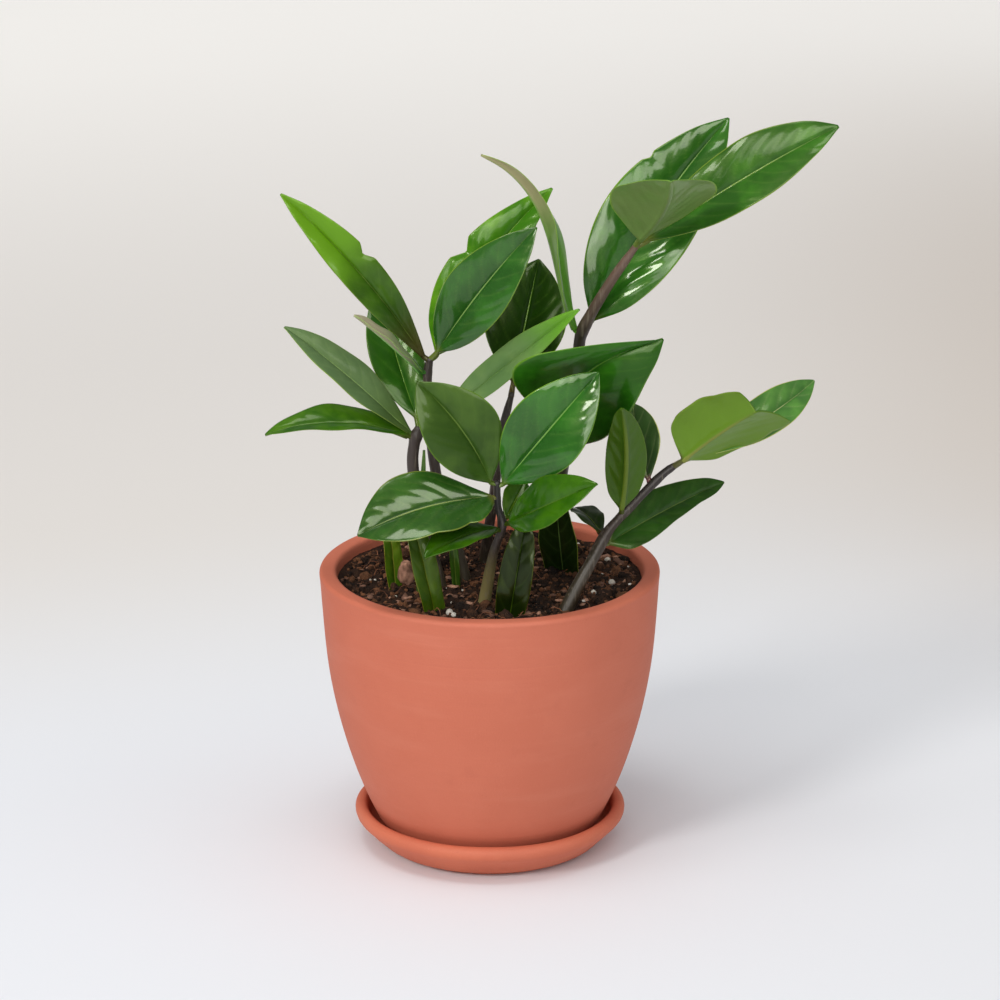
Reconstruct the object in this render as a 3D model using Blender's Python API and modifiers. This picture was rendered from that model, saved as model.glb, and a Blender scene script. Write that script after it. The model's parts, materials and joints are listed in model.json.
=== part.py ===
"""A small ZZ plant in a turned terracotta pot on its saucer.

Everything is sized in millimetres and scaled to metres as it is built. The origin is the middle of
the saucer's underside, +Z is up, and -Y is the side that the plant is shown from.
"""

import math
from dataclasses import dataclass

import bmesh
import bpy
from mathutils import Vector

MM = 0.001
CLEARANCE = 0.3
TURNED_STEPS = 40

# Pot: outer size, wall and the curve of its belly.
RIM_HEIGHT = 119.0
RIM_RADIUS = 70.0
RIM_EDGE_RADIUS = 1.6
POT_WALL = 7.0
WALL_TAPER = 0.05
BELLY_TUCK = 21.4
BELLY_POWER = 2.75
BELLY_END = 103.0
POT_FOOT_RADIUS = 38.0
POT_FLOOR = 8.0

# Saucer: a shallow dish with a thick rolled lip.
SAUCER_RADIUS = 56.2
SAUCER_HEIGHT = 16.5
SAUCER_LIP = 2.7
SAUCER_FLOOR = 4.5
SAUCER_DISH_RADIUS = 40.0
SAUCER_FOOT_RADIUS = 42.0

# Soil: a slightly heaped fill that reaches to just under the rim.
SOIL_DEPTH = 4.8
SOIL_HEAP = 1.0
SOIL_FLOOR_RADIUS = 34.0

# Leaf blades.
LEAF_THICKNESS = 0.9
LEAF_STATIONS = 10
LEAF_FULLNESS = 0.8
PETIOLE_HALF_WIDTH = 1.2
TIP_HALF_WIDTH = 0.5
MOST_ALONG_STEM = 1.7

# Where the clump stands: added to every stem, leaf tip and cutting in the tables.
PLANTED_AT = Vector((0.0, -17.0, 5.5))

POT_BASE = SAUCER_FLOOR + CLEARANCE
POT_HEIGHT = RIM_HEIGHT - POT_BASE
SOIL_TOP = RIM_HEIGHT - SOIL_DEPTH


@dataclass(frozen=True)
class Finish:
    """Colour and surface of one material."""

    name: str
    colour: tuple
    roughness: float


TERRACOTTA = Finish("terracotta", (0.62, 0.19, 0.11), 0.8)
SOIL = Finish("potting_soil", (0.045, 0.025, 0.015), 0.95)
STEM = Finish("stem_skin", (0.10, 0.07, 0.05), 0.5)
LEAF = Finish("leaf", (0.035, 0.17, 0.02), 0.3)
BARK = Finish("bark", (0.22, 0.11, 0.07), 0.9)


@dataclass(frozen=True)
class Stem:
    """A leaf stalk: its centre line from under the soil to its top, as (x, y, z, radius)."""

    name: str
    line: tuple


@dataclass(frozen=True)
class Leaf:
    """A leaflet on a stem.

    height is where it leaves the stem, tip is its far end and face is the way its upper side looks.
    arch lifts its middle off the straight line and sway moves it sideways, both in millimetres.
    fold raises both halves and twist turns the tip end, both in degrees. belly above 1 puts the
    widest place nearer the tip, and crest above 1 the highest place of the arch. A lower fullness
    gives a broader, blunter oval.
    """

    name: str
    stem: str
    height: float
    tip: tuple
    width: float
    face: tuple
    arch: float = 4.0
    sway: float = 0.0
    fold: float = 12.0
    twist: float = 0.0
    belly: float = 1.0
    crest: float = 1.0
    fullness: float = LEAF_FULLNESS


@dataclass(frozen=True)
class Cutting:
    """A leaf blade that stands in the soil on its cut end, cut_width wide."""

    name: str
    foot: tuple
    tip: tuple
    width: float
    cut_width: float
    face: tuple
    arch: float = 1.0
    fold: float = 8.0
    fullness: float = 0.5


STEMS = (
    Stem("far_left_stem", ((-18, 3, 92, 2.9), (-21, 3, 113, 2.8), (-28, 4, 140, 2.5), (-31, 4, 160, 2.4),
                           (-30.5, 4, 170, 2.3), (-28.5, 3, 178, 1.9))),
    Stem("left_stem", ((-8, 13, 92, 2.7), (-11, 12, 113, 2.6), (-18, 11, 140, 2.3), (-22, 10, 157, 2.2),
                       (-24.5, 8, 180, 2.0), (-25, 6, 198, 1.8), (-24, 5, 206, 1.6))),
    Stem("back_stem", ((-4, 36, 92, 2.4), (-2, 33, 113, 2.3), (2, 24, 145, 2.0), (5, 20, 170, 1.8),
                       (9, 20, 187, 1.5))),
    Stem("tall_stem", ((27, 41, 92, 3.4), (27.5, 38, 113, 3.3), (28.5, 27, 140, 2.8), (30, 20, 157, 2.6),
                       (34, 14.5, 171.5, 2.5), (36.5, 10, 190.7, 2.4), (36, 7, 211, 2.3), (39, 5, 221.3, 2.2),
                       (48, 2.5, 238, 2.0), (59, 0, 255, 1.5))),
    Stem("right_stem", ((22.5, -30, 92, 3.1), (32.5, -24.8, 113.5, 2.8), (40.5, -21, 128, 2.4),
                        (46.5, -17, 138.5, 2.1), (51.5, -14, 144, 1.9), (58.5, -10.5, 150.5, 1.8),
                        (69, -6, 160, 1.6), (74.5, -4.8, 164, 1.5))),
    Stem("front_stem", ((-5, -13, 92, 2.8), (-1.6, -16, 113, 2.5), (1.5, -21, 132, 1.9), (5, -24, 144.5, 1.5),
                        (3.2, -25, 154, 1.4), (3, -26, 164, 1.3))),
)

LEAVES = (
    Leaf("far_left_leaf_low", "far_left_stem", 174, (-90, -8, 178), 18, (0, -0.35, 1), arch=6, fold=14),
    Leaf("far_left_leaf_middle", "far_left_stem", 173, (-82, 2, 220), 17, (-0.3, -0.35, 0.8), arch=2),
    Leaf("far_left_leaf_back", "far_left_stem", 178, (-45.5, 36, 228), 22, (0.1, -1, 0.2), arch=2, sway=-1,
         belly=0.9),
    Leaf("left_leaf_long", "left_stem", 204, (-82.5, 0, 275), 17.5, (0.35, -1.1, 0.2), arch=2, sway=2.5,
         fold=20),
    Leaf("left_leaf_small", "left_stem", 198, (-53, -19, 230.7), 11, (-0.2, -0.5, 1), arch=1, sway=-1),
    Leaf("left_leaf_glossy", "left_stem", 205, (18.5, -10, 264), 27, (-0.2, -1, 0.35), arch=3, sway=-1,
         fold=10, belly=0.9),
    Leaf("left_leaf_behind", "left_stem", 203, (25, 18, 273), 26, (-0.3, -1, 0.3), arch=3, sway=-4,
         belly=0.75),
    Leaf("left_leaf_inner", "left_stem", 176, (35.5, -10, 230.5), 14, (-0.3, -0.9, 0.6), arch=1),
    Leaf("back_leaf", "back_stem", 186, (20, 36, 239), 34, (-0.1, -1, 0.1), arch=2),
    Leaf("tall_leaf_right", "tall_stem", 254, (137, -5, 303.5), 27, (-0.2, -0.9, 0.6), arch=4),
    Leaf("tall_leaf_wide", "tall_stem", 216, (96, 34, 298), 39, (-0.1, -1, 0.3), arch=3, sway=-3, belly=0.85),
    Leaf("tall_leaf_forward", "tall_stem", 255, (69.5, -52, 293), 43, (-0.1, 0.66, 0.75), arch=0, sway=-3.5,
         belly=1.1),
    Leaf("tall_leaf_curled", "tall_stem", 213, (-3, -8, 293), 21, (0.9, -0.05, 0.43), arch=10, twist=-70,
         belly=1.2, crest=1.6),
    Leaf("tall_leaf_low", "tall_stem", 163, (68.5, -20, 221), 46, (0.35, -0.9, 0.3), arch=6, sway=-20.5,
         belly=1.1, crest=1.2),
    Leaf("right_leaf_tip", "right_stem", 163.5, (109.5, -24, 194.7), 37, (-0.27, 0.94, 0.19), arch=2, fold=16,
         belly=0.85, fullness=0.5),
    Leaf("right_leaf_behind", "right_stem", 164, (132.5, 29, 189.7), 18, (-0.1, -0.9, 0.6), arch=3, sway=3.5,
         belly=1.3),
    Leaf("right_leaf_upright", "right_stem", 145.5, (52, -34, 197), 17, (0, 0.95, -0.3), arch=2, sway=-2,
         belly=0.75, fullness=0.65),
    Leaf("right_leaf_upper_back", "right_stem", 156, (58, 10, 185.5), 20, (-0.3, -1, 0.3), arch=3),
    Leaf("right_leaf_low", "right_stem", 133.5, (96, 22, 148.4), 20, (0.25, -1, 0.6), arch=0.5, sway=-1,
         fold=8, belly=0.7, fullness=0.65),
    Leaf("right_leaf_low_back", "right_stem", 138, (34, 12, 140.5), 12, (0.3, -0.7, 0.8), arch=2),
    Leaf("front_leaf_left_upright", "front_stem", 160, (-28.5, -32, 207), 31, (0.1, -1, 0.2), arch=2, sway=3),
    Leaf("front_leaf_right_upright", "front_stem", 160, (43, -32, 211), 32, (0.1, -1, 0.5), arch=4),
    Leaf("front_leaf_left", "front_stem", 158, (-52, -46, 148), 31, (-0.1, -0.75, 0.75), arch=3, sway=2,
         belly=1.2),
    Leaf("front_leaf_left_low", "front_stem", 144, (-25.5, -54, 141.5), 17, (0, -0.4, 1), arch=3),
    Leaf("front_leaf_right", "front_stem", 144.5, (42, -54, 172), 22, (0.1, -0.8, 0.7), arch=3, sway=1.5),
    Leaf("front_leaf_behind", "front_stem", 145, (14, -12, 160), 13, (0.2, -1, 0.2), arch=1),
)

CUTTINGS = (
    Cutting("cutting_far_left", (-38, 5, 100), (-41.5, 0, 146), 7.5, 3, (0.3, -1, 0.1)),
    Cutting("cutting_left", (-20.5, -26, 100), (-32.5, -20, 152), 10.8, 9, (0.5, -1, 0.1)),
    Cutting("cutting_front", (7, -28.5, 100), (14.6, -26, 148), 13.6, 12, (-0.2, -1, 0.1)),
    Cutting("cutting_middle", (31.5, 28, 100), (27, 8, 148), 17, 14, (-0.4, -1, 0.1)),
    Cutting("cutting_thin", (-13, 2, 100), (-17, 8, 150), 3.8, 3, (0.2, -1, 0)),
    Cutting("cutting_tall_thin", (-29, -4, 100), (-26.5, 3, 168), 3.2, 3, (0, -1, 0), fullness=0.8),
)

BARK_CHIP_PLACE = (-34, -3, 118)
BARK_CHIP_SIZE = (3.6, 2.2, 5.5)


def make_material(finish):
    """One Principled material, made the first time that its finish is asked for."""
    material = bpy.data.materials.get(finish.name)
    if material is None:
        material = bpy.data.materials.new(finish.name)
        material.use_nodes = True
        shader = material.node_tree.nodes["Principled BSDF"]
        shader.inputs["Base Color"].default_value = (*finish.colour, 1)
        shader.inputs["Roughness"].default_value = finish.roughness
        shader.inputs["Metallic"].default_value = 0
    return material


def add_object(name, data, finish, collection):
    """Puts mesh or curve data into the scene as a named object."""
    thing = bpy.data.objects.new(name, data)
    data.materials.append(make_material(finish))
    collection.objects.link(thing)
    return thing


def arc(centre, radius, start, end, count):
    """Points (x, z) on an arc, with its angles in degrees from +X towards +Z."""
    angles = [math.radians(start + (end - start) * i / (count - 1)) for i in range(count)]
    return [(centre[0] + radius * math.cos(a), centre[1] + radius * math.sin(a)) for a in angles]


def bend(start, corner, end, count):
    """Points (x, z) on a parabola that turns from start to end round a corner."""
    steps = [i / (count - 1) for i in range(count)]
    return [
        tuple((1 - t) ** 2 * a + 2 * t * (1 - t) * b + t * t * c for a, b, c in zip(start, corner, end))
        for t in steps
    ]


def pot_outer_radius(height):
    """Outer radius of the pot at a height over the table: a slight taper, then the belly tucks in."""
    drop = RIM_HEIGHT - height
    return RIM_RADIUS - WALL_TAPER * drop - BELLY_TUCK * (drop / POT_HEIGHT) ** BELLY_POWER


def wall_points(inset, top, bottom, count):
    """Points down the pot's wall, inset from its outer face."""
    heights = [top + (bottom - top) * i / (count - 1) for i in range(count)]
    return [(pot_outer_radius(height) - inset, height) for height in heights]


def turn(name, profile, finish, collection):
    """A turned piece: a Screw modifier round a profile that starts and ends on the axis."""
    mesh = bpy.data.meshes.new(name)
    edges = [(i, i + 1) for i in range(len(profile) - 1)]
    mesh.from_pydata([(x * MM, 0, z * MM) for x, z in profile], edges, [])
    piece = add_object(name, mesh, finish, collection)
    screw = piece.modifiers.new("turn", "SCREW")
    screw.steps = TURNED_STEPS
    screw.render_steps = TURNED_STEPS
    screw.use_merge_vertices = True
    screw.merge_threshold = 0.00001
    screw.use_smooth_shade = True
    return piece


def make_saucer(collection):
    """Dish floor, rolled lip and an outer side that curves in to a small raised foot."""
    lip = (SAUCER_RADIUS - SAUCER_LIP, SAUCER_HEIGHT - SAUCER_LIP)
    inner_wall = SAUCER_RADIUS - 2 * SAUCER_LIP
    profile = [(0, SAUCER_FLOOR)]
    profile += bend((SAUCER_DISH_RADIUS, SAUCER_FLOOR), (inner_wall - 1, SAUCER_FLOOR),
                    (inner_wall, lip[1]), 5)
    profile += arc(lip, SAUCER_LIP, 135, 0, 5)
    profile += bend((SAUCER_RADIUS - 0.4, lip[1] - 2), (SAUCER_RADIUS - 5, 6.5),
                    (SAUCER_FOOT_RADIUS + 4, 2), 5)
    profile += [(SAUCER_FOOT_RADIUS + 0.5, 1), (SAUCER_FOOT_RADIUS, 0), (0, 0)]
    return turn("saucer", profile, TERRACOTTA, collection)


def make_pot(collection):
    """The pot: a flat rim with eased edges, a wall of even thickness and a flat floor."""
    edge = RIM_EDGE_RADIUS
    inner_rim = RIM_RADIUS - POT_WALL
    belly_height = RIM_HEIGHT - BELLY_END
    floor = POT_BASE + POT_FLOOR
    profile = [(0, floor)]
    inside = wall_points(POT_WALL, floor + 10, RIM_HEIGHT - 3, 7)
    profile += bend((SOIL_FLOOR_RADIUS + 1, floor), (inside[0][0] - 3, floor), inside[0], 4)
    profile += inside[1:]
    profile += arc((inner_rim + edge, RIM_HEIGHT - edge), edge, 180, 90, 3)
    profile += arc((RIM_RADIUS - edge, RIM_HEIGHT - edge), edge, 90, 0, 4)
    profile += wall_points(0, RIM_HEIGHT - 4, belly_height, 11)
    end = profile[-1]
    profile += bend(end, (end[0] - 5, POT_BASE), (POT_FOOT_RADIUS, POT_BASE), 5)[1:]
    profile += [(0, POT_BASE)]
    return turn("pot", profile, TERRACOTTA, collection)


def make_soil(collection):
    """The soil, which fills the pot to just under its rim."""
    inset = POT_WALL + CLEARANCE
    floor = POT_BASE + POT_FLOOR + CLEARANCE
    side = wall_points(inset, SOIL_TOP, floor + 11, 7)
    profile = [(0, SOIL_TOP + SOIL_HEAP), (side[0][0] / 2, SOIL_TOP + SOIL_HEAP)]
    profile += side
    profile += bend(side[-1], (side[-1][0] - 5, floor + 1), (SOIL_FLOOR_RADIUS, floor), 4)[1:]
    profile += [(0, floor)]
    return turn("soil", profile, SOIL, collection)


def make_stem(stem, collection):
    """A tapered round stalk along the stem's centre line."""
    curve = bpy.data.curves.new(stem.name, "CURVE")
    curve.dimensions = "3D"
    curve.bevel_depth = MM
    curve.bevel_resolution = 2
    curve.use_fill_caps = True
    spline = curve.splines.new("POLY")
    spline.points.add(len(stem.line) - 1)
    for point, (*place, radius) in zip(spline.points, stem.line):
        point.co = (*((Vector(place) + PLANTED_AT) * MM), 1)
        point.radius = radius
    return add_object(stem.name, curve, STEM, collection)


def stem_at(stem, height):
    """Centre, direction and radius of a stem at a height, all in millimetres."""
    for low, high in zip(stem.line, stem.line[1:]):
        if height <= high[2]:
            break
    share = min((height - low[2]) / (high[2] - low[2]), 1)
    centre = Vector(low[:3]).lerp(Vector(high[:3]), share)
    direction = (Vector(high[:3]) - Vector(low[:3])).normalized()
    return centre, direction, low[3] + (high[3] - low[3]) * share


def half_width(along, width, belly, fullness, end_half_width):
    """Half the blade's width at a share of its length, from its narrow foot to its pointed tip."""
    oval = width / 2 * math.sin(math.pi * along ** belly) ** fullness if 0 < along < 1 else 0
    foot = end_half_width * (1 - along) ** 3
    return math.hypot(oval, foot) + TIP_HALF_WIDTH * along ** 6


def make_blade(name, base, tip, width, face, arch=0.0, sway=0.0, fold=0.0, twist=0.0, belly=1.0, crest=1.0,
               fullness=LEAF_FULLNESS, end_half_width=PETIOLE_HALF_WIDTH, thickness=LEAF_THICKNESS,
               collection=None):
    """A thin leaf blade between two points: a grid that is shaped along its midrib, then thickened."""
    base, tip = base + PLANTED_AT, tip + PLANTED_AT
    chord = tip - base
    forward = chord.normalized()
    side = forward.cross(Vector(face)).normalized()
    up = side.cross(forward)
    mesh = bpy.data.meshes.new(name)
    blade = bmesh.new()
    bmesh.ops.create_grid(blade, x_segments=2, y_segments=LEAF_STATIONS, size=1)
    for vertex in blade.verts:
        across = vertex.co.x
        along = (vertex.co.y + 1) / 2
        bent = along ** crest
        rise = 4 * bent * (1 - bent)
        turn_angle = math.radians(twist) * (along - 0.5)
        lean = turn_angle + math.radians(fold) * abs(across) * (1 if across > 0 else -1)
        reach = across * half_width(along, width, belly, fullness, end_half_width)
        spot = base + chord * along + up * (arch * rise) + side * (sway * rise)
        vertex.co = (spot + side * (reach * math.cos(lean)) + up * (reach * math.sin(lean))) * MM
    blade.normal_update()
    blade.to_mesh(mesh)
    blade.free()
    mesh.shade_smooth()
    piece = add_object(name, mesh, LEAF, collection)
    solid = piece.modifiers.new("thickness", "SOLIDIFY")
    solid.thickness = thickness * MM
    solid.offset = 0
    return piece


def make_leaf(leaf, stems, collection):
    """A leaflet that starts just clear of its stem's skin."""
    centre, direction, radius = stem_at(stems[leaf.stem], leaf.height)
    tip = Vector(leaf.tip)
    heading = (tip - centre).normalized()
    alongside = heading.dot(direction)
    outward = heading - direction * alongside
    clear = radius + CLEARANCE + PETIOLE_HALF_WIDTH
    base = centre + outward.normalized() * clear
    base += direction * clear * min(alongside / outward.length, MOST_ALONG_STEM)
    return make_blade(leaf.name, base, tip, leaf.width, leaf.face, leaf.arch, leaf.sway, leaf.fold,
                      leaf.twist, leaf.belly, leaf.crest, leaf.fullness, collection=collection)


def make_cutting(cutting, collection, grow=0.0):
    """A cutting, or with grow the slightly larger blade that cuts its slot in the soil."""
    name = cutting.name + ("_slot" if grow else "")
    tip = Vector(cutting.tip)
    foot = Vector(cutting.foot)
    foot -= (tip - foot).normalized() * grow
    return make_blade(name, foot, tip, cutting.width + 2 * grow, cutting.face, cutting.arch,
                      fold=cutting.fold, fullness=cutting.fullness,
                      end_half_width=cutting.cut_width / 2 + grow,
                      thickness=LEAF_THICKNESS + 2 * grow, collection=collection)


def make_stem_socket(stem, collection):
    """The tapered cutter that leaves room in the soil for the foot of a stem."""
    low, high = Vector(stem.line[0][:3]), Vector(stem.line[1][:3])
    axis = (high - low).normalized()
    low -= axis * CLEARANCE
    high += axis * 2 * CLEARANCE
    mesh = bpy.data.meshes.new(stem.name + "_socket")
    socket = bmesh.new()
    room = CLEARANCE / math.cos(math.pi / 12)
    bmesh.ops.create_cone(socket, cap_ends=True, segments=12, radius1=(stem.line[0][3] + room) * MM,
                          radius2=(stem.line[1][3] + room) * MM, depth=(high - low).length * MM)
    socket.to_mesh(mesh)
    socket.free()
    cutter = add_object(mesh.name, mesh, SOIL, collection)
    cutter.rotation_mode = "QUATERNION"
    cutter.rotation_quaternion = axis.to_track_quat("Z", "Y")
    cutter.location = ((low + high) / 2 + PLANTED_AT) * MM
    return cutter


def make_bark_chip(collection):
    """The flake of bark that stands on the soil beside the cuttings."""
    mesh = bpy.data.meshes.new("bark_chip")
    chip = bmesh.new()
    bmesh.ops.create_uvsphere(chip, u_segments=10, v_segments=6, radius=1)
    for vertex in chip.verts:
        vertex.co = [value * size * MM for value, size in zip(vertex.co, BARK_CHIP_SIZE)]
    chip.to_mesh(mesh)
    chip.free()
    piece = add_object("bark_chip", mesh, BARK, collection)
    piece.location = (Vector(BARK_CHIP_PLACE) + PLANTED_AT) * MM
    piece.rotation_euler = (math.radians(-12), math.radians(14), math.radians(20))
    return piece


def cut_soil(soil, cutters):
    """Opens a socket in the soil for each cutter."""
    for cutter in cutters:
        cutter.hide_render = True
        cutter.display_type = "WIRE"
        boolean = soil.modifiers.new(cutter.name, "BOOLEAN")
        boolean.operation = "DIFFERENCE"
        boolean.solver = "EXACT"
        boolean.object = cutter


def main():
    for thing in list(bpy.data.objects):
        bpy.data.objects.remove(thing)
    scene = bpy.context.scene
    plant = bpy.data.collections.new("potted_zz_plant")
    cutters = bpy.data.collections.new("cutters")
    scene.collection.children.link(plant)
    scene.collection.children.link(cutters)

    make_saucer(plant)
    make_pot(plant)
    soil = make_soil(plant)
    make_bark_chip(plant)
    stems = {stem.name: stem for stem in STEMS}
    for stem in STEMS:
        make_stem(stem, plant)
    for leaf in LEAVES:
        make_leaf(leaf, stems, plant)
    for cutting in CUTTINGS:
        make_cutting(cutting, plant)
    sockets = [make_stem_socket(stem, cutters) for stem in STEMS]
    sockets += [make_cutting(cutting, cutters, grow=CLEARANCE) for cutting in CUTTINGS]
    cut_soil(soil, sockets)


main()
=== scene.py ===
"""The looks of a small ZZ plant in a terracotta pot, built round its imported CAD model.

Every leaf, stalk and turned piece reads its place and size from the CAD node it stands for, and is
rebuilt there with its real surface. Lengths are in metres, +Z is up and -Y is the shown side.
"""

import json
import logging
import math
from dataclasses import dataclass
from enum import Enum

import bmesh
import bpy
import numpy as np
from mathutils import Matrix, Vector, noise

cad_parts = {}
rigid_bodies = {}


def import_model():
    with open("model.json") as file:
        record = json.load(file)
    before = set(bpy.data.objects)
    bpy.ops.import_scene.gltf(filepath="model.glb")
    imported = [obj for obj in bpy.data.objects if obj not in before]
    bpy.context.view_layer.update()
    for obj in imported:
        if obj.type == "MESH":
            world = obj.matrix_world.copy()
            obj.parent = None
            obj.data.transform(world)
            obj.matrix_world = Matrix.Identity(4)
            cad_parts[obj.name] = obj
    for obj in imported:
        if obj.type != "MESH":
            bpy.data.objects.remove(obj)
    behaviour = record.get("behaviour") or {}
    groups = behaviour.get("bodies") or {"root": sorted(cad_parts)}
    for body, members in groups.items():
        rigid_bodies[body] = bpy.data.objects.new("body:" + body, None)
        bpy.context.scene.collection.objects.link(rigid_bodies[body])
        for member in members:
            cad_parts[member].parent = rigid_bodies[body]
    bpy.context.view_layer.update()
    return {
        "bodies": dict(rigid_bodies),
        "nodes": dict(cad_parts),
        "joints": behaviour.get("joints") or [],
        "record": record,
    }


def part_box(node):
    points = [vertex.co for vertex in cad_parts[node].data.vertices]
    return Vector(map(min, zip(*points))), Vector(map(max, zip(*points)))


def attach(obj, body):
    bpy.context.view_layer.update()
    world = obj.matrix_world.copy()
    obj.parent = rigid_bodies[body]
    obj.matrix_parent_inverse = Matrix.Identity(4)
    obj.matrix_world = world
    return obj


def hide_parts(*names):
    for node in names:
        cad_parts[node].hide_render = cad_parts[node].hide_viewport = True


LOG = logging.getLogger("zz_plant")
MM = 0.001
Colour = tuple[float, float, float]


# ---------------------------------------------------------------- small helpers


def paint(red: int, green: int, blue: int) -> Colour:
    """Linear colour of a swatch that is given in display values.

    Args:
        red: red, from 0 to 255.
        green: green, from 0 to 255.
        blue: blue, from 0 to 255.

    Returns:
        The linear red, green and blue, from 0 to 1.
    """
    linear = []
    for value in (red, green, blue):
        share = value / 255
        linear.append(share / 12.92 if share <= 0.04045 else ((share + 0.055) / 1.055) ** 2.4)
    return tuple(linear)


def smooth_step(low: float, high: float, value: np.ndarray) -> np.ndarray:
    """0 below low, 1 above high and an eased slope between them."""
    share = np.clip((value - low) / (high - low), 0, 1)
    return share * share * (3 - 2 * share)


def unit(vectors: np.ndarray) -> np.ndarray:
    """The same vectors at length 1."""
    return vectors / np.maximum(np.linalg.norm(vectors, axis=-1, keepdims=True), 1e-12)


def grain(points: np.ndarray, size: float, seed: float = 0.0) -> np.ndarray:
    """Smooth noise from -1 to 1 at points, with features of about the given size.

    Args:
        points: positions in metres, one to a row.
        size: distance over which the noise changes, in metres.
        seed: moves the pattern, so that two pieces differ.

    Returns:
        One value for each point.
    """
    shift = Vector((seed * 7.3, seed * 3.1, seed * 5.7))
    flat = points.reshape(-1, 3)
    found = [noise.noise(Vector(point) / size + shift) for point in flat]
    return np.array(found).reshape(points.shape[:-1])


def follow(points: np.ndarray, share: np.ndarray) -> np.ndarray:
    """A smooth curve through points that are evenly spaced along it.

    Args:
        points: the rows that it passes through.
        share: where to read it, from 0 at the first row to 1 at the last.

    Returns:
        One row for each share.
    """
    last = len(points) - 1
    padded = np.vstack([2 * points[0] - points[1], points, 2 * points[-1] - points[-2]])
    spot = np.clip(share, 0, 1) * last
    index = np.minimum(spot.astype(int), last - 1)
    t = (spot - index)[:, None]
    before, start, end, after = (padded[index + step] for step in range(4))
    return 0.5 * (
        2 * start
        + (end - before) * t
        + (2 * before - 5 * start + 4 * end - after) * t**2
        + (3 * start - before - 3 * end + after) * t**3
    )


def corners(node: bpy.types.Object) -> np.ndarray:
    """The different corner points of a CAD node.

    Args:
        node: the CAD node.

    Returns:
        One point to a row, without repeats.
    """
    found = np.zeros(len(node.data.vertices) * 3)
    node.data.vertices.foreach_get("co", found)
    return np.unique(np.round(found.reshape(-1, 3), 6), axis=0)


def stacked_rings(rings: int, segments: int, flipped: bool = False) -> list[tuple[int, ...]]:
    """Faces of a closed body of stacked rings, whose two end points come after all the rings.

    Args:
        rings: how many rings there are.
        segments: how many corners each ring has.
        flipped: whether the faces are turned over, for rings that run the other way.

    Returns:
        Tuples of corner numbers.
    """
    faces = []
    for ring in range(rings - 1):
        for step in range(segments):
            a, b = ring * segments + step, ring * segments + (step + 1) % segments
            faces.append((a, b, b + segments, a + segments))
    first, base = rings * segments, (rings - 1) * segments
    for step in range(segments):
        after = (step + 1) % segments
        faces += [(first, after, step), (first + 1, base + step, base + after)]
    return [face[::-1] for face in faces] if flipped else faces


def round_ball(subdivisions: int) -> tuple[np.ndarray, np.ndarray]:
    """A ball of radius 1 that other shapes are pressed from.

    Args:
        subdivisions: how finely it is divided.

    Returns:
        Its corner points and its three-cornered faces.
    """
    ball = bmesh.new()
    bmesh.ops.create_icosphere(ball, subdivisions=subdivisions, radius=1)
    shape = np.array([vertex.co for vertex in ball.verts])
    faces = np.array([[vertex.index for vertex in face.verts] for face in ball.faces])
    ball.free()
    return shape, faces


def add_piece(name: str, points: np.ndarray, faces: list, material: bpy.types.Material,
              smooth: bool = True, values: dict[str, np.ndarray] | None = None) -> bpy.types.Object:
    """Puts a mesh into the scene.

    Args:
        name: name of the piece.
        points: corner positions in metres.
        faces: tuples of corner numbers.
        material: the finish it wears.
        smooth: whether its shading is smooth.
        values: named numbers for each corner, which materials read.

    Returns:
        The new object.
    """
    mesh = bpy.data.meshes.new(name)
    mesh.from_pydata(points.tolist(), [], faces)
    for label, numbers in (values or {}).items():
        attribute = mesh.attributes.new(label, "FLOAT", "POINT")
        attribute.data.foreach_set("value", np.asarray(numbers, np.float32).ravel())
    mesh.materials.append(material)
    if smooth:
        mesh.shade_smooth()
    piece = bpy.data.objects.new(name, mesh)
    bpy.context.scene.collection.objects.link(piece)
    return piece


def settle(piece: bpy.types.Object, slot: str, *nodes: str) -> bpy.types.Object:
    """Fixes a piece to the plant's one body, in place of the CAD nodes it stands for.

    Args:
        piece: the piece.
        slot: the record's material slot for it; not used.
        nodes: names of the CAD nodes that it stands for, if any.

    Returns:
        The same piece.
    """
    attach(piece, "root")
    if nodes:
        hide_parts(*nodes)
    return piece


# ---------------------------------------------------------------- material building


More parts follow.
